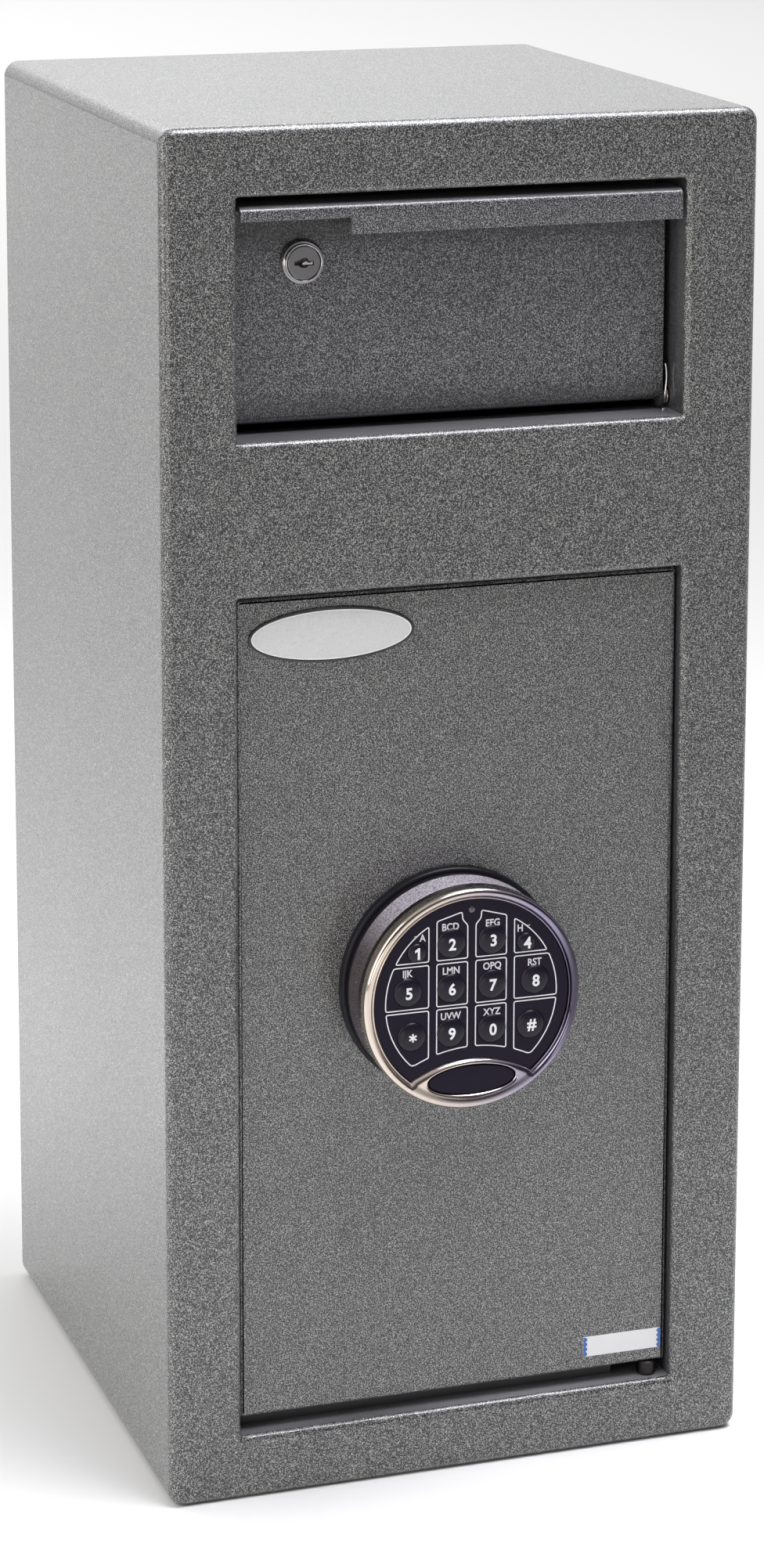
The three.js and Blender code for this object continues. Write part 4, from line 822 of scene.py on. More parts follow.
def cabinet_front(settings):
    """The front plate: an outer edge and two window edges, each a quarter round carried round its outline,
    with a flat face between them. The window edges wander a little, as ground welds do."""
    low, high = box("front_plate")
    front, back = low[1], high[1]
    sheet = settings.sheet
    outline = cabinet_outline(settings)
    radius = settings.front_edge
    outer = joined((-radius - FLAT_BAND, front),
                   arc((-radius, front + radius - FLAT_BAND), (radius, radius - FLAT_BAND), 270, 360),
                   (0, back), (-sheet, back), (-sheet, front + sheet))
    roll = settings.window_edge
    inner = joined((2 * roll, front), (roll + FLAT_BAND, front), arc((roll, front + roll), roll, 270, 180),
                   (0, front + sheet))
    weight = np.concatenate([[0, 0], np.sin(np.linspace(0, pi, ROLL_STEPS + 1)), [0]])
    surfaces = [skin(carried(outline, outer))]
    face = [at_depth(outline, -radius - FLAT_BAND, front)]
    inside = [at_depth(outline, -sheet, front + sheet)]
    for node in ("door_opening_return", "deposit_opening_return"):
        window = window_outline(node, settings)
        edge = carried(window, inner)
        run = np.cumsum(np.linalg.norm(np.diff(edge[0], axis=0, append=edge[0][:1]), axis=1))
        waves = [(run[-1] / count, height, phase) for count, height, phase in EDGE_WAVES]
        edge[..., 1] += settings.unevenness * weight[:, None] * np.abs(ripple(run, waves))
        surfaces.append(skin(edge))
        face.append(edge[0])
        inside.append(at_depth(window, 0, front + sheet))
    surfaces += [filled(*face), filled(*inside)]
    piece("cabinet_front", "cabinet", finish("cabinet_paint"), surfaces, ["front_plate"])


def cabinet_back(settings):
    """The back plate: a quarter round carried round the cabinet's outline, with a flat face."""
    low, high = box("back_plate")
    radius = settings.back_edge
    outline = cabinet_outline(settings)
    profile = joined((-radius, low[1]), (0, low[1]),
                     arc((-radius, low[1] + FLAT_BAND), (radius, radius - FLAT_BAND), 0, 90),
                     (-radius - FLAT_BAND, high[1]))
    surfaces = [skin(carried(outline, profile)), filled(at_depth(outline, -radius, low[1])),
                filled(at_depth(outline, -radius - FLAT_BAND, high[1]))]
    piece("cabinet_back", "cabinet", finish("cabinet_paint"), surfaces, ["back_plate"])


def window_sleeve(name, node, settings, hole):
    """The sheet folded back round a window: the window's outline drawn backwards, one sheet thick."""
    low, high = box(node)
    profile = np.array([(0, low[1]), (0, high[1]), (settings.sheet, high[1]), (settings.sheet, low[1])])
    sleeve = skin(carried(window_outline(node, settings), profile), closed=True)
    piece(name, "cabinet", finish("recess_paint"), [sleeve], [node], drill=[hole])


def door_sleeve(settings):
    """The door's sleeve, with holes for the hinge pins."""
    clear_of_pin = 3.4 * MM
    low, high = box("door_opening_return")
    hole = rod(middle_of("upper_hinge_pin")[:2], clear_of_pin, low[2] - MM, high[2] + MM, "z")
    window_sleeve("door_window_sleeve", "door_opening_return", settings, hole)


def deposit_sleeve(settings):
    """The hopper's sleeve, with holes for the pivot bushes."""
    clear_of_bush = 5.3 * MM
    low, high = box("deposit_opening_return")
    hole = rod(middle_of("right_pivot_bush")[1:], clear_of_bush, low[0] - MM, high[0] + MM, "x")
    window_sleeve("deposit_window_sleeve", "deposit_opening_return", settings, hole)


# Door


def plate_with_edge(outline, front, back, radius):
    """A plate whose front edge is a quarter round carried round its outline."""
    profile = joined((-radius - FLAT_BAND, front), arc((-radius, front + radius), radius, 270, 360),
                     (0, back), (-FLAT_BAND, back))
    return [skin(carried(outline, profile)), filled(at_depth(outline, -radius - FLAT_BAND, front)),
            filled(at_depth(outline, -FLAT_BAND, back))]


def door_leaf(settings):
    """The door's plate, with a hole for the dial's spindle."""
    low, high = box("door_plate")
    spindle_gap = 0.4 * MM
    middle = middle_of("dial_spindle")
    hole = rod(middle[[0, 2]], radius_of("dial_spindle") + spindle_gap, low[1] - MM, high[1] + MM, "y")
    outline = rectangle(low[0], low[2], high[0], high[2], settings.corner)
    piece("door_leaf", "door", finish("cabinet_paint"),
          plate_with_edge(outline, low[1], high[1], settings.edge), ["door_plate"], drill=[hole])


def pin(centre, radius, bottom, top, chamfer):
    """An upright pin with a chamfer at both ends."""
    profile = [(0, bottom), (radius - chamfer, bottom), (radius, bottom + chamfer),
               (radius, top - chamfer), (radius - chamfer, top), (0, top)]
    return skin(turned(centre, profile, "z", SMALL_STEPS))


def hinge_pins(settings):
    """The two hinge pins. The lower one has a collar that stands on the sill with a small gap."""
    pin_chamfer, collar_chamfer = 0.5 * MM, 0.6 * MM
    sill_gap = 0.3 * MM
    sill = window_rectangle("door_opening_return")[1]
    low, high = box("lower_hinge_pin")
    centre = middle_of("lower_hinge_pin")[:2]
    surfaces = [pin(centre, settings.pin, low[2], high[2], pin_chamfer),
                pin(centre, radius_of("lower_hinge_pin"), sill + sill_gap, high[2], collar_chamfer)]
    piece("lower_pin", "door", finish("black_steel"), surfaces, ["lower_hinge_pin"])
    low, high = box("upper_hinge_pin")
    piece("upper_pin", "door", finish("black_steel"),
          [pin(centre, settings.pin, low[2], high[2], pin_chamfer)], ["upper_hinge_pin"])


def bolts(settings):
    """Three round bolts with chamfered tips, each with the stub that holds it on the carriage."""
    stub_inset, stub_radius = 8 * MM, 3 * MM
    chamfer = settings.bolt_chamfer
    for name in ("lower_bolt", "middle_bolt", "upper_bolt"):
        low, high = box(name)
        radius = (high[2] - low[2]) / 2
        centre = (low[1] + radius, (low[2] + high[2]) / 2)
        tip = [(0, low[0]), (radius - chamfer, low[0]), (radius, low[0] + chamfer), (radius, high[0]),
               (0, high[0])]
        stub = rod((high[0] - stub_inset, centre[1]), stub_radius, centre[0], high[1], "y")
        piece(name + "_round", "boltwork", finish("zinc"),
              [skin(turned(centre, tip, "x", SMALL_STEPS)), stub], [name])


def badge(settings):
    """The badge: an ellipse with a dark rounded border, a thin pale line and a bare face. The face is faintly
    crowned: at a share s of the way out from its middle it has sqrt(1 - s * s) of its height."""
    badge_steps, crown_steps = 160, 14
    round_edge, inner_edge = 0.6 * MM, 0.2 * MM
    line_sunk, line_rise = 0.1 * MM, 0.15 * MM
    rim_share = 0.75
    low, high = box("badge")
    half = (high - low) / 2
    middle = (high + low) / 2
    outline = ellipse(middle[0], middle[2], half[0], half[2], badge_steps)
    rim_front = high[1] - (high[1] - low[1]) * rim_share
    border = settings.badge_border
    line = border + settings.badge_line
    rim = joined((0, high[1]), arc((-round_edge, rim_front + round_edge), round_edge, 0, -90),
                 arc((-border + inner_edge, rim_front + inner_edge), inner_edge, 270, 180),
                 (-border, high[1]))
    piece("badge_rim", "door", finish("badge_rim"),
          [skin(carried(outline, rim), closed=True)], ["badge"])
    line_middle = (-(border + line) / 2, rim_front + line_sunk)
    ring = joined((-border, high[1]), arc(line_middle, ((line - border) / 2, line_rise), 0, -180),
                  (-line, high[1]))
    piece("badge_line", "door", finish("badge_line"),
          [skin(carried(outline, ring), closed=True)])
    share = np.sin(np.linspace(pi / 2, 0, crown_steps))[:, None, None]
    rise = np.sqrt(1 - share ** 2)
    edge = at_depth(outline, -line, rim_front)
    crown = middle + (edge - middle) * share
    crown[..., 1] = (rim_front - (rim_front - low[1]) * rise)[..., 0]
    foot = at_depth(outline, -line, high[1])[None]
    piece("badge_face", "door", finish("badge_plate"),
          [skin(np.concatenate([foot, crown])), filled(foot[0])])


def serial_label(settings):
    """The bare label: a thin plate, and at each end a strip whose inner edge is a row of rounded points: its
    width is a share of the strip's plus the rest times |sin| of the way up."""
    corner, edge = 0.5 * MM, 0.1 * MM
    tooth_steps, flat_share = 24, 0.55
    outer_dent, end_gap = 0.12 * MM, 0.15 * MM
    sheet_front, strip_front, strip_thick = 0.3, 0.1, 0.25
    low, high = box("serial_label")
    thick = high[1] - low[1]
    outline = rectangle(low[0], low[2], high[0], high[2], corner)
    piece("label_sheet", "door", finish("label_stock"),
          plate_with_edge(outline, low[1] + thick * sheet_front, high[1], edge), ["serial_label"])
    up = np.linspace(0, 1, settings.label_teeth * tooth_steps + 1)
    wave = np.abs(np.sin(pi * settings.label_teeth * up))
    height = low[2] + end_gap + up * (high[2] - low[2] - 2 * end_gap)
    for name, end, inward in (("label_left_end", low[0], 1), ("label_right_end", high[0], -1)):
        inner = end + inward * settings.label_end * (flat_share + (1 - flat_share) * wave)
        outer = end + inward * outer_dent * (1 - wave)
        strip = np.stack([standing(np.stack([side, height], axis=-1), low[1] + thick * strip_front)
                          for side in (outer, inner)], axis=1)
        piece(name, "door", finish("label_blue"), slab(strip, (0, thick * strip_thick, 0)))


# Keypad

# The keys with the letters printed over each
KEYS = {"1": "A", "2": "BCD", "3": "EFG", "4": "H", "5": "IJK", "6": "LMN", "7": "OPQ", "8": "RST",
        "star": "", "9": "UVW", "0": "XYZ", "hash": ""}
SMALL_KEYS = ("1", "4")
# Where the letters and the short dashes stand, from each key's centre, in millimetres
LETTER_PLACES = {"1": (2.9, 7.2), "2": (-0.4, 8.4), "3": (0.2, 8.4), "4": (-3.2, 7.2), "5": (0, 8.9),
                 "6": (0, 8.9), "7": (0, 8.9), "8": (0, 8.9), "9": (0, 8.5), "0": (0, 8.5)}
DASH_PLACES = {"1": (-0.4, 8.0), "4": (0.9, 8.0)}


def dial_centre():
    """The dial's axis, seen from the front."""
    return middle_of("dial_drum")[[0, 2]]


def keypad_housing(settings):
    """Base disc, hollow drum and the drum's skirt, each a profile turned about the dial's axis."""
    centre = dial_centre()
    base_disc(centre)
    wall, slope = 3 * MM, 0.3 * MM
    line_front, line_back, line_depth = 1.2 * MM, 2.4 * MM, 0.25 * MM
    corner, neck, neck_height = 0.5 * MM, 0.5 * MM, 0.9 * MM
    low, high = box("dial_drum")
    front, back = low[1], high[1]
    radius = radius_of("dial_drum")
    rear = back - settings.skirt
    drum = joined((radius - wall, rear), (radius, rear), (radius, front + line_back),
                  (radius - line_depth, front + line_back - slope),
                  (radius - line_depth, front + line_front + slope),
                  (radius, front + line_front), (radius, front), (radius - wall, front))
    piece("drum_body", "dial", finish("drum_metal"),
          [skin(turned(centre, drum), closed=True)], ["dial_drum"])
    inside = radius - wall - neck
    skirt = joined((0, back), (radius - corner, back),
                   arc((radius - corner, back - corner), corner, 90, 0),
                   (radius, rear + neck_height), (radius - neck, rear + neck), (radius - neck, rear),
                   (inside, rear), (inside, back - wall), (0, back - wall))
    piece("drum_skirt", "dial", finish("keypad_plastic"), [skin(turned(centre, skirt))])


def base_disc(centre):
    """The fixed disc behind the drum: a round edge, and a groove just outside the drum."""
    bore_radius, fillet = 4.8 * MM, 1.6 * MM
    groove_outside, groove_inside = 3.4 * MM, 4.9 * MM
    groove_slope, groove_depth = 0.3 * MM, 0.6 * MM
    low, high = box("keypad_base")
    front, back = low[1], high[1]
    radius = radius_of("keypad_base")
    disc = joined((bore_radius, back), (radius, back),
                  arc((radius - fillet, front + fillet), fillet, 0, -90),
                  (radius - groove_outside, front),
                  (radius - groove_outside - groove_slope, front + groove_depth),
                  (radius - groove_inside + groove_slope, front + groove_depth),
                  (radius - groove_inside, front), (bore_radius, front))
    piece("base_disc", "door", finish("keypad_plastic"),
          [skin(turned(centre, disc), closed=True)], ["keypad_base"])


def bezel(settings):
    """The bezel: a half-round ring, a little deeper than wide, with a thin bead inside it, and the crescent
    below the face."""
    depth_ratio = 1.15
    rear_chamfer, bead_forward = 0.3 * MM, 0.6 * MM
    turn_steps, ring_steps, bead_steps = 192, 36, 16
    centre = dial_centre()
    low, high = box("dial_bezel")
    radius = radius_of("dial_bezel")
    inner = settings.face_radius
    bead = settings.bead / 2
    crown = (radius - inner - settings.bead) / 2
    crown_middle = radius - crown
    crown_depth = low[1] + crown * depth_ratio
    ring = joined((inner, high[1]), (radius - rear_chamfer, high[1]), (radius, high[1] - rear_chamfer),
                  arc((crown_middle, crown_depth), (crown, crown * depth_ratio), 0, -180, ring_steps),
                  arc((inner + bead, crown_depth - bead_forward), bead, 0, -180, bead_steps))
    surfaces = [skin(turned(centre, ring, steps=turn_steps), closed=True),
                crescent(settings, centre, low[1], crown_middle)]
    piece("bezel_ring", "dial", finish("chrome"), surfaces, ["dial_bezel"], crease=50)


def crescent(settings, centre, front, reach):
    """The crescent round the oval: rays from the oval's centre, from the ellipse out to the nearer of two
    circles (the upper edge, and the middle of the ring). It is rounded off by the distance from the upper
    edge and from the oval, and slightly hollow between the oval and the ring."""
    oval_gap = 0.3 * MM
    top_round, oval_round = 3.4 * MM, 1.9 * MM
    hollow_width, hollow_depth = 4 * MM, 0.55 * MM
    thick = 4 * MM
    turn_steps, ray_steps = 360, 44
    low, high = box("oval_plate")
    half = (high - low)[[0, 2]] / 2
    oval = (high + low)[[0, 2]] / 2 - centre
    upper = np.array([0, settings.crescent_top - settings.crescent_radius])

    def ray_to(circle_centre, radius, angle):
        """Distance from the oval's centre to a circle round it: -b + sqrt(b * b - c)."""
        across = oval - circle_centre
        b = across[0] * np.cos(angle) + across[1] * np.sin(angle)
        return -b + np.sqrt(b * b - (across @ across - radius * radius))

    def rounded(depth, radius):
        """A quarter round: how far a point this deep inside an edge lies behind the top."""
        return radius - np.sqrt(radius ** 2 - (radius - np.clip(depth, 0, radius)) ** 2)

    angle = np.linspace(0, 2 * pi, turn_steps, endpoint=False)
    border = np.minimum(ray_to(upper, settings.crescent_radius, angle), ray_to(np.zeros(2), reach, angle))
    start = 1 / np.hypot(np.cos(angle) / (half[0] + oval_gap), np.sin(angle) / (half[1] + oval_gap))
    share = (1 - np.cos(np.linspace(0, pi, ray_steps)[:, None])) / 2
    distance = start + (border - start) * share
    x = oval[0] + distance * np.cos(angle)
    z = oval[1] + distance * np.sin(angle)
    from_top = settings.crescent_radius - np.hypot(x - upper[0], z - upper[1])
    from_oval = distance - start
    to_ring = np.clip((reach - np.hypot(x, z)) / hollow_width, 0, 1)
    hollow = hollow_depth * to_ring * to_ring * (3 - 2 * to_ring)
    sunk = hollow + rounded(from_top, top_round) + rounded(from_oval, oval_round)
    sides = np.full((1, len(angle)), thick)
    sunk = np.vstack([sunk, sides, sides])
    x = np.vstack([x, x[-1:], x[:1]]) + centre[0]
    z = np.vstack([z, z[-1:], z[:1]]) + centre[1]
    return skin(np.stack([x, front + sunk, z], axis=-1), closed=True)


def key_place(key):
    """A key's centre, seen from the front."""
    return middle_of("key_" + key)[[0, 2]]


def dome_radius(settings, key):
    """The radius of a key's dome."""
    return settings.corner_key_radius if key in SMALL_KEYS else settings.key_radius


def face_plate(settings):
    """The black face, with a hole for each key and for the status light."""
    hole_gap, lens_radius = 0.15 * MM, 1.6 * MM
    low, high = box("dial_face")
    light_low, light_high = box("status_led")
    light = middle_of("status_led")[[0, 2]]
    outlines = [circle(dial_centre(), radius_of("dial_face"))]
    outlines += [circle(key_place(key), dome_radius(settings, key) + hole_gap, SMALL_STEPS) for key in KEYS]
    outlines.append(circle(light, lens_radius + hole_gap, SMALL_STEPS))
    walls = [skin(carried(outline, np.array([(0, low[1]), (0, high[1])]))) for outline in outlines]
    ends = [filled(*[at_depth(outline, 0, depth) for outline in outlines]) for depth in (low[1], high[1])]
    piece("face_overlay", "dial", finish("keypad_face"), walls + ends, ["dial_face"])
    lens = joined((0, light_high[1]), (lens_radius, light_high[1]), (lens_radius, low[1]),
                  arc((0, low[1]), (lens_radius, low[1] - light_low[1]), 0, -90))
    piece("status_lens", "dial", finish("led_lens"),
          [skin(turned(light, lens, steps=SMALL_STEPS))], ["status_led"])


def bare_oval():
    """The bare oval plate: an ellipse with a round edge, and a faint crown that rises as cos a while the
    ellipse shrinks by the same factor."""
    edge, crown_rise = 0.4 * MM, 0.1 * MM
    crown_steps = 12
    low, high = box("oval_plate")
    half, middle = (high - low) / 2, (high + low) / 2
    oval = ellipse(middle[0], middle[2], half[0], half[2])
    spring = low[1] + crown_rise + edge
    profile = joined((0, high[1]), (0, spring), arc((-edge, spring), edge, 0, -90))
    lip = at_depth(oval, -edge, low[1] + crown_rise)
    shrink = np.cos(np.linspace(0, pi / 2, crown_steps))[1:, None, None]
    crown = middle + (lip - middle) * shrink
    crown[..., 1] = low[1] + crown_rise * shrink[..., 0]
    piece("bare_oval", "dial", finish("keypad_face"),
          [skin(np.concatenate([carried(oval, profile), crown])), filled(at_depth(oval, 0, high[1]))],
          ["oval_plate"])


def dome_height(settings, share):
    """Height of a key's dome at a share s of its radius: rise * (1 - s ** 2.6) ** 0.6."""
    flatness, fullness = 2.6, 0.6
    return settings.key_rise * (1 - np.clip(share, 0, 1) ** flatness) ** fullness


def raised(outline, thick):
    """A closed slab between an outline in the dial's plane and the same outline set back."""
    loops = [standing(outline, depth) for depth in (-thick / 2, thick / 2)]
    sides, ends = skin(np.stack(loops)), filled(loops[0])[1]
    back = [[corner + len(outline) for corner in face] for face in ends]
    return sides[0], sides[1] + ends + back


def figure_one(height):
    """Outline of the figure 1 with its flag, for a height of one, then scaled."""
    outline = np.array([(0.14, 0), (0.14, 1), (0.0, 1), (-0.3, 0.8), (-0.3, 0.6), (-0.07, 0.72), (-0.07, 0)])
    middle = (-0.03, 0.5)
    return (outline - middle) * height


def figure_star(reach, width, arms=6):
    """Outline of a star of straight arms: each arm's two outer corners, and the corner between it and the
    next arm, half a width from both arms' middle lines."""
    angle = pi / 2 + 2 * pi * np.arange(arms)[:, None] / arms
    notch = width / 2 / np.sin(pi / arms)
    along = np.array([reach, reach, notch * np.cos(pi / arms)])
    aside = np.array([-width / 2, width / 2, notch * np.sin(pi / arms)])
    return np.stack([along * np.cos(angle) - aside * np.sin(angle),
                     along * np.sin(angle) + aside * np.cos(angle)], axis=-1).reshape(-1, 2)


def written(text, height, stroke, width=1.0, thick=0.1 * MM):
    """Text as a flat closed mesh: points in the plane of the dial, centred, and its faces. A width of less
    than one makes the letters narrower."""
    capital_share = 0.72
    curve_steps = 4
    curve = bpy.data.curves.new("text", "FONT")
    curve.body = text
    curve.size = height / capital_share
    curve.offset = stroke
    curve.extrude = thick / 2
    curve.resolution_u = curve_steps
    obj = bpy.data.objects.new("text", curve)
    bpy.context.scene.collection.objects.link(obj)
    mesh = evaluated_mesh(obj)
    flat = np.zeros(len(mesh.vertices) * 3)
    mesh.vertices.foreach_get("co", flat)
    flat = flat.reshape(-1, 3)
    faces = [list(polygon.vertices) for polygon in mesh.polygons]
    bpy.data.objects.remove(obj)
    bpy.data.meshes.remove(mesh)
    middle = (flat.min(0) + flat.max(0)) / 2
    x, z, depth = ((flat - middle) * (width, 1, 1)).T
    return np.stack([x, -depth, z], axis=-1), faces


def keys(settings):
    """Each key: a dome over the face with a flange behind it, and its number raised on the dome."""
    mark_thick, mark_sunk, mark_width = 0.36 * MM, 0.16 * MM, 0.95
    star_reach, star_width = 2.1 * MM, 0.85 * MM
    flange_thick, dome_steps = 1 * MM, 24
    outlines = {"1": figure_one(settings.digit_height), "star": figure_star(star_reach, star_width)}
    face_front = box("dial_face")[0][1]
    for key in KEYS:
        node, body = "key_" + key, f"key_{key}_cap"
        back = box(node)[1][1]
        place = key_place(key)
        flange = radius_of(node)
        reach = dome_radius(settings, key)
        share = np.sin(np.linspace(pi / 2, 0, dome_steps))
        dome = np.stack([reach * share, face_front - dome_height(settings, share)], axis=-1)
        profile = joined((0, back), (flange, back), (flange, back - flange_thick),
                         (reach, back - flange_thick), dome)
        piece(f"key_{key}_dome", body, finish("key_rubber"),
              [skin(turned(place, profile, steps=SMALL_STEPS))], [node], crease=40)
        if key in outlines:
            points, faces = raised(outlines[key], mark_thick)
        else:
            sign = "#" if key == "hash" else key
            points, faces = written(sign, settings.digit_height, settings.digit_stroke, mark_width,
                                    mark_thick)
        points += np.array([place[0], face_front - settings.key_rise + mark_sunk, place[1]])
        piece(f"key_{key}_mark", body, finish("white_print"), [(points, faces)])


def rounded_path(corners, radius, steps=5):
    """A closed path through corners, each turned by a quadratic curve that starts and ends at most radius
    from the corner and at most half way along its sides."""
    before, after = np.roll(corners, 1, axis=0), np.roll(corners, -1, axis=0)

    def toward(other):
        """Where the curve of each corner meets its side toward another corner."""
        side = other - corners
        size = np.linalg.norm(side, axis=1, keepdims=True)
        return corners + side / size * np.minimum(radius, size / 2)

    t = np.linspace(0, 1, steps + 1)[None, :, None]
    start, end, corner = toward(before)[:, None], toward(after)[:, None], corners[:, None]
    return ((1 - t) ** 2 * start + 2 * t * (1 - t) * corner + t * t * end).reshape(-1, 2)


def ribbon(path, width, front, back):
    """A closed band along a path in the dial's plane: the path moved half a width to both sides along the
    mean normal of its two neighbours."""
    distinct = np.linalg.norm(path - np.roll(path, 1, axis=0), axis=1) > WELD
    path = path[distinct]
    tangent = np.roll(path, -1, axis=0) - np.roll(path, 1, axis=0)
    tangent /= np.linalg.norm(tangent, axis=1, keepdims=True)
    normal = np.stack([-tangent[:, 1], tangent[:, 0]], axis=-1)
    rows = [standing(path + side * width / 2 * normal, depth)
            for side, depth in ((1, back), (1, front), (-1, front), (-1, back))]
    return skin(np.stack(rows), closed=True)


def key_outlines(settings):
    """The printed lines round the keys: cells between the columns and rows, cut by the outer circle, by the
    circle over the crescent and by a notch beside the status light. The left half mirrors the right."""
    print_rise, print_sunk = 0.07 * MM, 0.1 * MM
    top_foot, middle_top, middle_foot, low_top = 20.4 * MM, 18.6 * MM, -2.7 * MM, -4.3 * MM
    shoulder, notch_foot = 40.1 * MM, 36.9 * MM
    notch_sides = [(5.0 * MM, 43.7 * MM), (4.7 * MM, 39.9 * MM)]
    crescent_gap, tip = 6.2 * MM, 29 * MM
    reach = settings.outline_reach
    near, wide, far = settings.column_inner, settings.column_outer, settings.column_far
    low_circle = settings.crescent_radius + crescent_gap
    low_centre = settings.crescent_top - settings.crescent_radius

    def sweep(start, end, steps=8):
        """Points of the outer circle between two heights."""
        angles = np.linspace(np.arcsin(start / reach), np.arcsin(end / reach), steps)
        return np.stack([reach * np.cos(angles), reach * np.sin(angles)], axis=-1)

    def low_arc(start, end, steps=6):
        """Points of the circle over the crescent between two distances from the middle."""
        x = np.linspace(start, end, steps)
        return np.stack([x, low_centre + np.sqrt(low_circle ** 2 - x * x)], axis=-1)

    tip_height = low_arc(tip, tip, 1)[0][1]
    # The right half's cells, round the keys 4, 3, 7, 8, 0 and hash
    cells = [
        joined((far, top_foot), sweep(top_foot, np.sqrt(reach ** 2 - far ** 2))),
        joined((near, top_foot), (wide, top_foot), (wide, shoulder), notch_sides, (near, notch_foot)),
        joined((near, middle_foot), (wide, middle_foot), (wide, middle_top), (near, middle_top)),
        joined((far, middle_foot), sweep(middle_foot, middle_top), (far, middle_top)),
        joined(low_arc(near, wide), (wide, low_top), (near, low_top)),
        joined(low_arc(far, tip), sweep(tip_height, low_top), (far, low_top)),
    ]
    front = box("dial_face")[0][1]
    paths = [rounded_path(cell, settings.outline_corner) for cell in cells]
    bands = [ribbon(path * (side, 1) + dial_centre(), settings.outline_width, front - print_rise,
                    front + print_sunk) for path in paths for side in (1, -1)]
    piece("key_outlines", "dial", finish("white_print"), bands, crease=60)


def key_letters(settings):
    """The letters over the keys, and a short dash beside each single letter."""
    stroke, narrow, print_rise = 0.11 * MM, 0.88, 0.04 * MM
    half_dash, dash_height, dash_rise, dash_thick = 1 * MM, 0.35 * MM, 0.08 * MM, 0.15 * MM
    front = box("dial_face")[0][1]
    letters = []
    for key, offset in LETTER_PLACES.items():
        points, faces = written(KEYS[key], settings.letter_height, stroke, narrow)
        points[:, [0, 2]] += key_place(key) + np.array(offset) * MM
        points[:, 1] += front - print_rise
        letters.append((points, faces))
    ends = np.array([(-half_dash, 0), (half_dash, 0)])
    for key, offset in DASH_PLACES.items():
        place = key_place(key) + np.array(offset) * MM
        dash = np.stack([standing(ends + place + (0, rise), front - dash_rise) for rise in (0, dash_height)])
        letters += slab(dash, (0, dash_thick, 0))
    piece("key_letters", "dial", finish("grey_print"), letters)


# Hopper

# Radius of the cam lock's body behind its head, and of the hole for it
LOCK_BODY = 9 * MM


def hopper_sheet(settings):
    """The panel's sheet: one section whose foot rolls in, drawn sideways between the cheeks. The front moves
    back a little at both ends, so that its upright edges are eased."""
    cheek_lap, edge = 1.5 * MM, 0.4 * MM
    foot_below, roll_end, roll_slack = 2.8 * MM, 262, 0.6 * MM
    low, high = box("hopper_panel")
    sheet, roll = settings.sheet, settings.foot_roll
    side = box("hopper_right_cheek")[0][0] + cheek_lap
    front = high[1] - sheet
    middle = (front + roll, low[2] - foot_below + roll)
    outside = joined((front, high[2] - sheet), arc(middle, roll, 180, roll_end))
    within = arc(middle, roll - sheet + roll_slack, roll_end, 180)
    cut = joined(outside, within, (high[1], high[2] - sheet))
    across = np.array([-side, -side + edge, side - edge, side])
    inset = np.array([edge, 0, 0, edge])[:, None] * (np.arange(len(cut)) < len(outside))
    rows = np.stack([np.broadcast_to(across[:, None], inset.shape), cut[:, 0] + inset,
                     np.broadcast_to(cut[:, 1], inset.shape)], axis=-1)
    return drawn(rows.transpose(1, 0, 2))


def hopper_lip(settings):
    """The folded lip: an L-shaped section with a bend, drawn sideways. Its hanging edge steps down at the
    notch."""
    edge = 0.5 * MM
    bend_steps, edge_steps, inside_steps = 12, 4, 8
    low, high = box("hopper_panel")
    front, back, top = low[1], high[1], high[2]
    sheet, bend = settings.sheet, settings.bend
    inside = bend - sheet
    notch = window_rectangle("deposit_opening_return")[0] + settings.notch_from_left

    def section(drop):
        """The lip's section (y, z) where it hangs down by drop."""
        foot = top - drop
        return joined((back, top - sheet), (back, top),
                      arc((front + bend, top - bend), bend, 90, 180, bend_steps),
                      (front, foot + edge), arc((front + edge, foot + edge), edge, 180, 270, edge_steps),
                      (front + sheet, foot),
                      arc((front + sheet + inside, top - sheet - inside), inside, 180, 90, inside_steps))

    stations = [(low[0], settings.notch_drop), (notch, settings.notch_drop), (notch, settings.lip_drop),
                (high[0], settings.lip_drop)]
    return drawn(np.stack([np.insert(section(drop), 0, x, axis=1) for x, drop in stations], axis=1))


def hopper_panel(settings):
    """The hopper's front: its sheet and its lip, with the hole for the cam lock."""
    back = box("hopper_panel")[1][1]
    hole = rod(middle_of("lock_barrel")[[0, 2]], LOCK_BODY, back - settings.sheet - MM, back + MM, "y")
    piece("hopper_front", "hopper", finish("hopper_paint"),
          hopper_sheet(settings) + hopper_lip(settings), ["hopper_panel"], crease=25, drill=[hole])


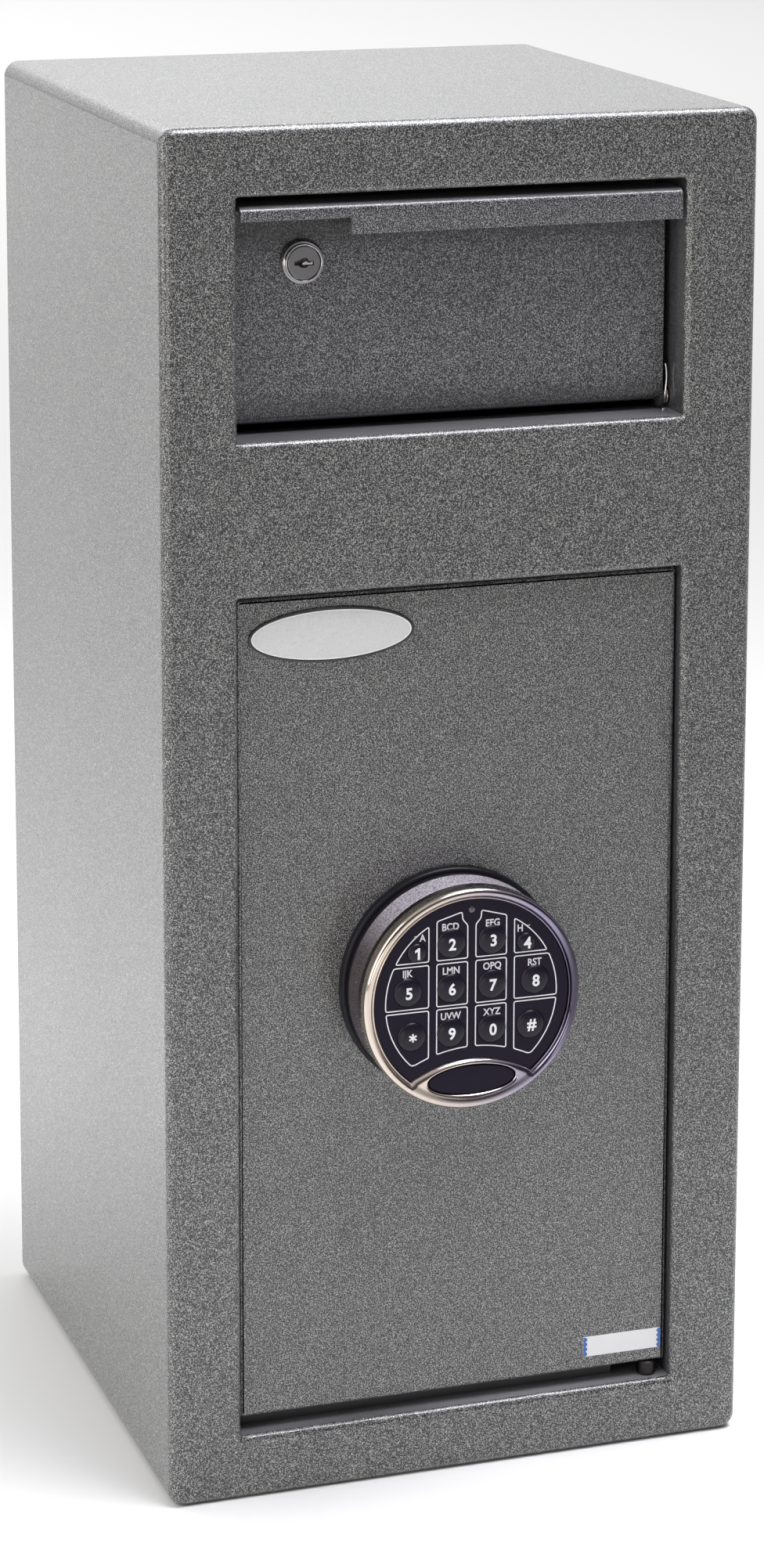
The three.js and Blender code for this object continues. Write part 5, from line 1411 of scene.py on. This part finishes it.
def return_spring(settings):
    """The torsion spring, a round tube about one line: a leg that bows on its way down the panel's edge, even
    turns that step sideways, and a leg over the sill. The bow is sin(pi * t ** 0.8) of its reach."""
    coil_points, leg_points, over_points, wire_points = 160, 24, 12, 14
    bow_skew = 0.8
    low, high = box("hopper_return_spring")
    pivot = middle_of("right_pivot_bush")[1:]
    start_x = low[0] + settings.wire
    turns = np.linspace(0, 1, coil_points) * settings.coil_turns
    angle = pi + 2 * pi * turns
    coil = np.stack([start_x + turns * settings.coil_pitch, pivot[0] + settings.coil * np.cos(angle),
                     pivot[1] + settings.coil * np.sin(angle)], axis=-1)
    top = [start_x, pivot[0] - settings.coil, high[2]]
    down = np.linspace(top, coil[0], leg_points, endpoint=False)
    down[:, 0] += settings.leg_bow * np.sin(pi * np.linspace(0, 1, leg_points) ** bow_skew)
    last = coil[-1]
    over = np.linspace(last, [last[0], high[1], last[2]], over_points)[1:]
    line = np.vstack([down, coil, over])
    tangent = np.gradient(line, axis=0)
    tangent /= np.linalg.norm(tangent, axis=1, keepdims=True)
    normal = np.cross(tangent, [1.0, 0.0, 0.0])
    normal /= np.linalg.norm(normal, axis=1, keepdims=True)
    other = np.cross(tangent, normal)
    turn = np.linspace(0, 2 * pi, wire_points, endpoint=False)[None, :, None]
    tube = line[:, None] + settings.wire * (np.cos(turn) * normal[:, None] + np.sin(turn) * other[:, None])
    piece("spring_wire", "hopper", finish("spring_wire"),
          [skin(tube), filled(tube[0]), filled(tube[-1])], ["hopper_return_spring"], crease=60)


def anchor_screw():
    """The screw head on the sill, beside the spring: a low rim with a domed top."""
    rim, dome = 0.35 * MM, 0.65 * MM
    middle, radius = middle_of("spring_anchor_screw"), radius_of("spring_anchor_screw")
    foot = box("spring_anchor_screw")[0][2]
    head = joined((0, foot), (radius, foot), (radius, foot + rim),
                  arc((0, foot + rim), (radius, dome), 0, 90))
    piece("anchor_screw_head", "cabinet", finish("zinc"),
          [skin(turned(middle[:2], head, "z", SMALL_STEPS))], ["spring_anchor_screw"])


# Cam lock

# Corners of the keyway, in halves of its width and of its height
KEYWAY = np.array([(-1, -0.5), (-0.55, -0.5), (-0.3, -1), (0.25, -1), (0.45, -0.6), (1, -0.6), (1, 0.35),
                   (0.5, 0.35), (0.3, 1), (-0.25, 1), (-0.45, 0.55), (-1, 0.4)])


def lock_centre():
    """The lock's axis, seen from the front."""
    return middle_of("lock_plug")[[0, 2]]


def lock_head(settings):
    """The lock's head and body: steps turned about the axis, with a raised ring round the plug."""
    shaft, well, well_depth = 6.3 * MM, 8.3 * MM, 2.6 * MM
    rim_thick, tuck = 1.2 * MM, 0.1 * MM
    step_out, step_round, step_depth = 0.5 * MM, 0.4 * MM, 2.2 * MM
    ring_round = 0.6 * MM
    low, high = box("lock_barrel")
    front, back = low[1], high[1]
    radius, collar = radius_of("lock_barrel"), settings.collar
    panel = box("hopper_panel")[1][1] - settings.sheet
    ring = (collar - well) / 2
    head = joined((LOCK_BODY, panel + tuck), (radius, panel), (radius, panel - rim_thick),
                  (collar + step_out + step_round, front + step_depth),
                  arc((collar + step_out, front + step_depth), step_round, 0, -90),
                  (collar, front + step_depth - step_round), (collar, front + ring_round),
                  arc((collar - ring, front + ring_round), (ring, ring_round), 0, -180),
                  (well, front + well_depth), (shaft, front + well_depth), (shaft, back), (LOCK_BODY, back))
    piece("lock_head", "hopper", finish("lock_chrome"),
          [skin(turned(lock_centre(), head), closed=True)], ["lock_barrel"], crease=35)


def lock_plug(settings):
    """The plug: a disc on a shaft turned about the axis, with the keyway sunk into it, and in the keyway a
    shutter whose upper edge is a wave. The shutter's ends, foot and wave are in halves of the keyway."""
    edge, face_round, step_depth, shaft = 0.35 * MM, 0.2 * MM, 2.1 * MM, 6 * MM
    keyway_depth, keyway_round = 9 * MM, 0.35 * MM
    shutter_depth, shutter_thick, shutter_steps = 0.5 * MM, 0.6 * MM, 40
    left_end, right_end, foot = -0.15, 0.9, -0.4
    wave_height, wave_pace, wave_middle = 0.15, 8, 0.1
    centre = lock_centre()
    low, high = box("lock_plug")
    front, back = low[1], high[1]
    radius = radius_of("lock_plug")
    outside = joined((radius - edge - face_round, front), arc((radius - edge, front + edge), edge, -90, 0),
                     (radius, front + step_depth), (shaft, front + step_depth), (shaft, back), (0, back))
    plug = turned(centre, outside)
    half = np.array([settings.keyway_width, settings.keyway_height]) / 2
    slot = rounded_path(KEYWAY * half, keyway_round, 3) + centre
    rims = [standing(slot, depth) for depth in (front, front + keyway_depth)]
    piece("plug_disc", "cam_lock", finish("plug_metal"),
          [skin(plug), filled(plug[0], rims[0]), skin(np.stack(rims)), filled(rims[1])], ["lock_plug"])
    across = np.linspace(left_end, right_end, shutter_steps)
    lower = np.full_like(across, foot)
    upper = wave_height * np.sin(wave_pace * across) + wave_middle
    edges = [standing(np.stack([across, height], axis=-1) * half + centre, front + shutter_depth)
             for height in (lower, upper)]
    piece("keyway_shutter", "cam_lock", finish("spring_wire"),
          slab(np.stack(edges), (0, shutter_thick, 0)))


# Stage


def area_light(name, place, target, size, watts, tint, spread=180):
    """A rectangular light at a place that faces a target."""
    light = bpy.data.lights.new(name, "AREA")
    light.shape = "RECTANGLE"
    light.size, light.size_y = size
    light.energy = watts
    light.color = tint
    light.spread = radians(spread)
    obj = bpy.data.objects.new(name, light)
    obj.location = place
    obj.rotation_euler = (Vector(target) - Vector(place)).to_track_quat("-Z", "Y").to_euler()
    obj.visible_camera = False
    bpy.context.scene.collection.objects.link(obj)


def studio_lights(settings):
    """Four soft lights: a large one at the left, one overhead, one for the floor behind, and a low one."""
    area_light("key_light", place=(-2.1, -0.85, 1.3), target=(0, 0, 0.45), size=(1.1, 2.3),
               watts=settings.key_power, tint=(1.0, 0.98, 0.97))
    area_light("top_light", place=(0.7, -0.5, 2.73), target=(0, 0, 0.4), size=(1.9, 1.1),
               watts=settings.top_power, tint=(0.95, 0.95, 1.0), spread=70)
    area_light("back_light", place=(-1.2, 6.5, 4.5), target=(-1.1, 5.5, 0), size=(9.0, 7.0),
               watts=settings.back_power, tint=(1.0, 1.0, 1.0))
    area_light("warm_light", place=(-1.0, -2.4, 0.3), target=(0, 0, 0.25), size=(1.2, 0.5),
               watts=settings.warm_power, tint=(1.0, 0.92, 0.82))


def pale_room(settings):
    """The room: pale all round, darker in front of the object, where the photographer stands, and darker at
    the right. The camera sees it plain and bright."""
    front_start, front_end = 0.15, -0.5
    ceiling_start, ceiling_end = 0.45, 0.85
    right_start, right_end = 0.25, 0.8
    tint_left, tint_right = -0.7, 0.6
    seen_brightness = 1.2
    world = bpy.data.worlds.new("room")
    bpy.context.scene.world = world
    world.use_nodes = True
    nodes = Tree(world.node_tree)
    back = world.node_tree.nodes["Background"]
    parts = nodes.parts(nodes.add("ShaderNodeTexCoord").outputs["Generated"])
    behind = nodes.ease(parts["Y"], front_end, front_start)
    side = nodes.blend(nodes.ease(parts["X"], tint_left, tint_right), settings.left_tint, settings.right_tint)
    ceiling = nodes.ease(parts["Z"], ceiling_start, ceiling_end)
    white = nodes.math("MAXIMUM", behind, ceiling)
    nodes.give(back.inputs["Color"], nodes.blend(white, side, (1, 1, 1)))
    walls = nodes.math("MULTIPLY", behind, settings.room_light - settings.front_shade)
    walls = nodes.math("ADD", walls, settings.front_shade)
    right = nodes.ease(parts["X"], right_start, right_end, 1.0, 1.0 - settings.right_shade)
    walls = nodes.math("MULTIPLY", walls, right)
    walls = nodes.math("MULTIPLY", walls, nodes.math("SUBTRACT", 1.0, ceiling))
    shade = nodes.math("ADD", walls, nodes.math("MULTIPLY", ceiling, settings.ceiling_light))
    seen = nodes.add("ShaderNodeLightPath").outputs["Is Camera Ray"]
    shade = nodes.math("MULTIPLY", shade, nodes.math("SUBTRACT", 1.0, seen))
    shade = nodes.math("ADD", shade, nodes.math("MULTIPLY", seen, seen_brightness))
    nodes.give(back.inputs["Strength"], shade)


def studio_floor(settings):
    """A flat round floor just under the safe."""
    below = 0.05 * MM
    disc = turned((0, 0), [(0, -below), (settings.floor_size, -below)], "z", SMALL_STEPS)
    floor = bpy.data.objects.new("floor", mesh_of([skin(disc)]))
    floor.data.materials.append(finish("floor"))
    bpy.context.scene.collection.objects.link(floor)


def photo_camera(settings):
    """The camera, fitted to the cabinet's corners in the photograph."""
    film_width, far_end = 36, 200
    data = bpy.data.cameras.new("photo_camera")
    data.lens = settings.lens
    data.sensor_width = film_width
    data.sensor_fit = "AUTO"
    data.shift_y = settings.shift
    data.clip_end = far_end
    camera = bpy.data.objects.new("photo_camera", data)
    camera.location = settings.camera_place
    camera.rotation_euler = settings.camera_turn
    bpy.context.scene.collection.objects.link(camera)
    bpy.context.scene.camera = camera


# Operators


class SAFE_OT_stage(bpy.types.Operator):
    """Makes the camera, the pale floor, the room and its lights"""
    bl_idname = "safe.stage"
    bl_label = "Stage"

    def execute(self, context):
        settings = context.scene.safe_stage
        context.scene.view_settings.view_transform = "Standard"
        photo_camera(settings)
        studio_floor(settings)
        pale_room(settings)
        studio_lights(settings)
        return {"FINISHED"}


class SAFE_OT_cabinet(bpy.types.Operator):
    """Makes the cabinet's shell, front plate, back plate and window sleeves"""
    bl_idname = "safe.cabinet"
    bl_label = "Cabinet"

    def execute(self, context):
        settings = context.scene.safe_cabinet
        cabinet_shell(settings)
        cabinet_front(settings)
        cabinet_back(settings)
        door_sleeve(settings)
        deposit_sleeve(settings)
        return {"FINISHED"}


class SAFE_OT_door(bpy.types.Operator):
    """Makes the door leaf and its hinge pins"""
    bl_idname = "safe.door"
    bl_label = "Door"

    def execute(self, context):
        door_leaf(context.scene.safe_door)
        hinge_pins(context.scene.safe_door)
        return {"FINISHED"}


class SAFE_OT_bolts(bpy.types.Operator):
    """Makes the three round bolts"""
    bl_idname = "safe.bolts"
    bl_label = "Bolts"

    def execute(self, context):
        bolts(context.scene.safe_door)
        return {"FINISHED"}


class SAFE_OT_plates(bpy.types.Operator):
    """Makes the badge and the label on the door"""
    bl_idname = "safe.plates"
    bl_label = "Badge and Label"

    def execute(self, context):
        badge(context.scene.safe_door)
        serial_label(context.scene.safe_door)
        return {"FINISHED"}


class SAFE_OT_keypad(bpy.types.Operator):
    """Makes the keypad's base, drum, bezel, face and oval"""
    bl_idname = "safe.keypad"
    bl_label = "Keypad"

    def execute(self, context):
        settings = context.scene.safe_keypad
        keypad_housing(settings)
        bezel(settings)
        face_plate(settings)
        bare_oval()
        return {"FINISHED"}


class SAFE_OT_keys(bpy.types.Operator):
    """Makes the domed keys with their numbers, letters and outlines"""
    bl_idname = "safe.keys"
    bl_label = "Keys"

    def execute(self, context):
        settings = context.scene.safe_keypad
        keys(settings)
        key_outlines(settings)
        key_letters(settings)
        return {"FINISHED"}


class SAFE_OT_hopper(bpy.types.Operator):
    """Makes the hopper's front panel, return spring and anchor screw"""
    bl_idname = "safe.hopper"
    bl_label = "Hopper"

    def execute(self, context):
        hopper_panel(context.scene.safe_hopper)
        return_spring(context.scene.safe_hopper)
        anchor_screw()
        return {"FINISHED"}


class SAFE_OT_cam_lock(bpy.types.Operator):
    """Makes the cam lock in the hopper's panel"""
    bl_idname = "safe.cam_lock"
    bl_label = "Cam Lock"

    def execute(self, context):
        lock_head(context.scene.safe_hopper)
        lock_plug(context.scene.safe_hopper)
        return {"FINISHED"}


class SAFE_OT_carried_finishes(bpy.types.Operator):
    """Gives every frame node that still shows the finish of its slot"""
    bl_idname = "safe.carried_finishes"
    bl_label = "Carried Finishes"

    def execute(self, context):
        for row in frame["record"]["subparts"]:
            node = frame["nodes"][row["node"]]
            node.data.materials.clear()
            node.data.materials.append(finish(row["material_slot"]))
        return {"FINISHED"}


class SAFE_PT_panel(bpy.types.Panel):
    """Lists the safe's pieces in the sidebar"""
    bl_idname = "SAFE_PT_panel"
    bl_label = "Deposit Safe"
    bl_space_type = "VIEW_3D"
    bl_region_type = "UI"
    bl_category = "Deposit Safe"

    def draw(self, context):
        for operator in OPERATORS:
            self.layout.operator(operator.bl_idname)


OPERATORS = (SAFE_OT_stage, SAFE_OT_cabinet, SAFE_OT_door, SAFE_OT_bolts, SAFE_OT_plates, SAFE_OT_keypad,
             SAFE_OT_keys, SAFE_OT_hopper, SAFE_OT_cam_lock, SAFE_OT_carried_finishes)
SETTINGS = {"safe_cabinet": CabinetSettings, "safe_door": DoorSettings, "safe_keypad": KeypadSettings,
            "safe_hopper": HopperSettings, "safe_finish": FinishSettings, "safe_stage": StageSettings}


def register():
    """Registers the settings, the operators and the panel."""
    for label, settings in SETTINGS.items():
        bpy.utils.register_class(settings)
        setattr(bpy.types.Scene, label, PointerProperty(type=settings))
    for shown in (*OPERATORS, SAFE_PT_panel):
        bpy.utils.register_class(shown)


def unregister():
    """Takes the panel, the operators and the settings back out."""
    for shown in (SAFE_PT_panel, *reversed(OPERATORS)):
        bpy.utils.unregister_class(shown)
    for label, settings in SETTINGS.items():
        delattr(bpy.types.Scene, label)
        bpy.utils.unregister_class(settings)


def main():
    """Builds the whole scene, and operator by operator."""
    register()
    for operator in OPERATORS:
        area, name = operator.bl_idname.split(".")
        getattr(getattr(bpy.ops, area), name)()


if __name__ == "__main__":
    main()
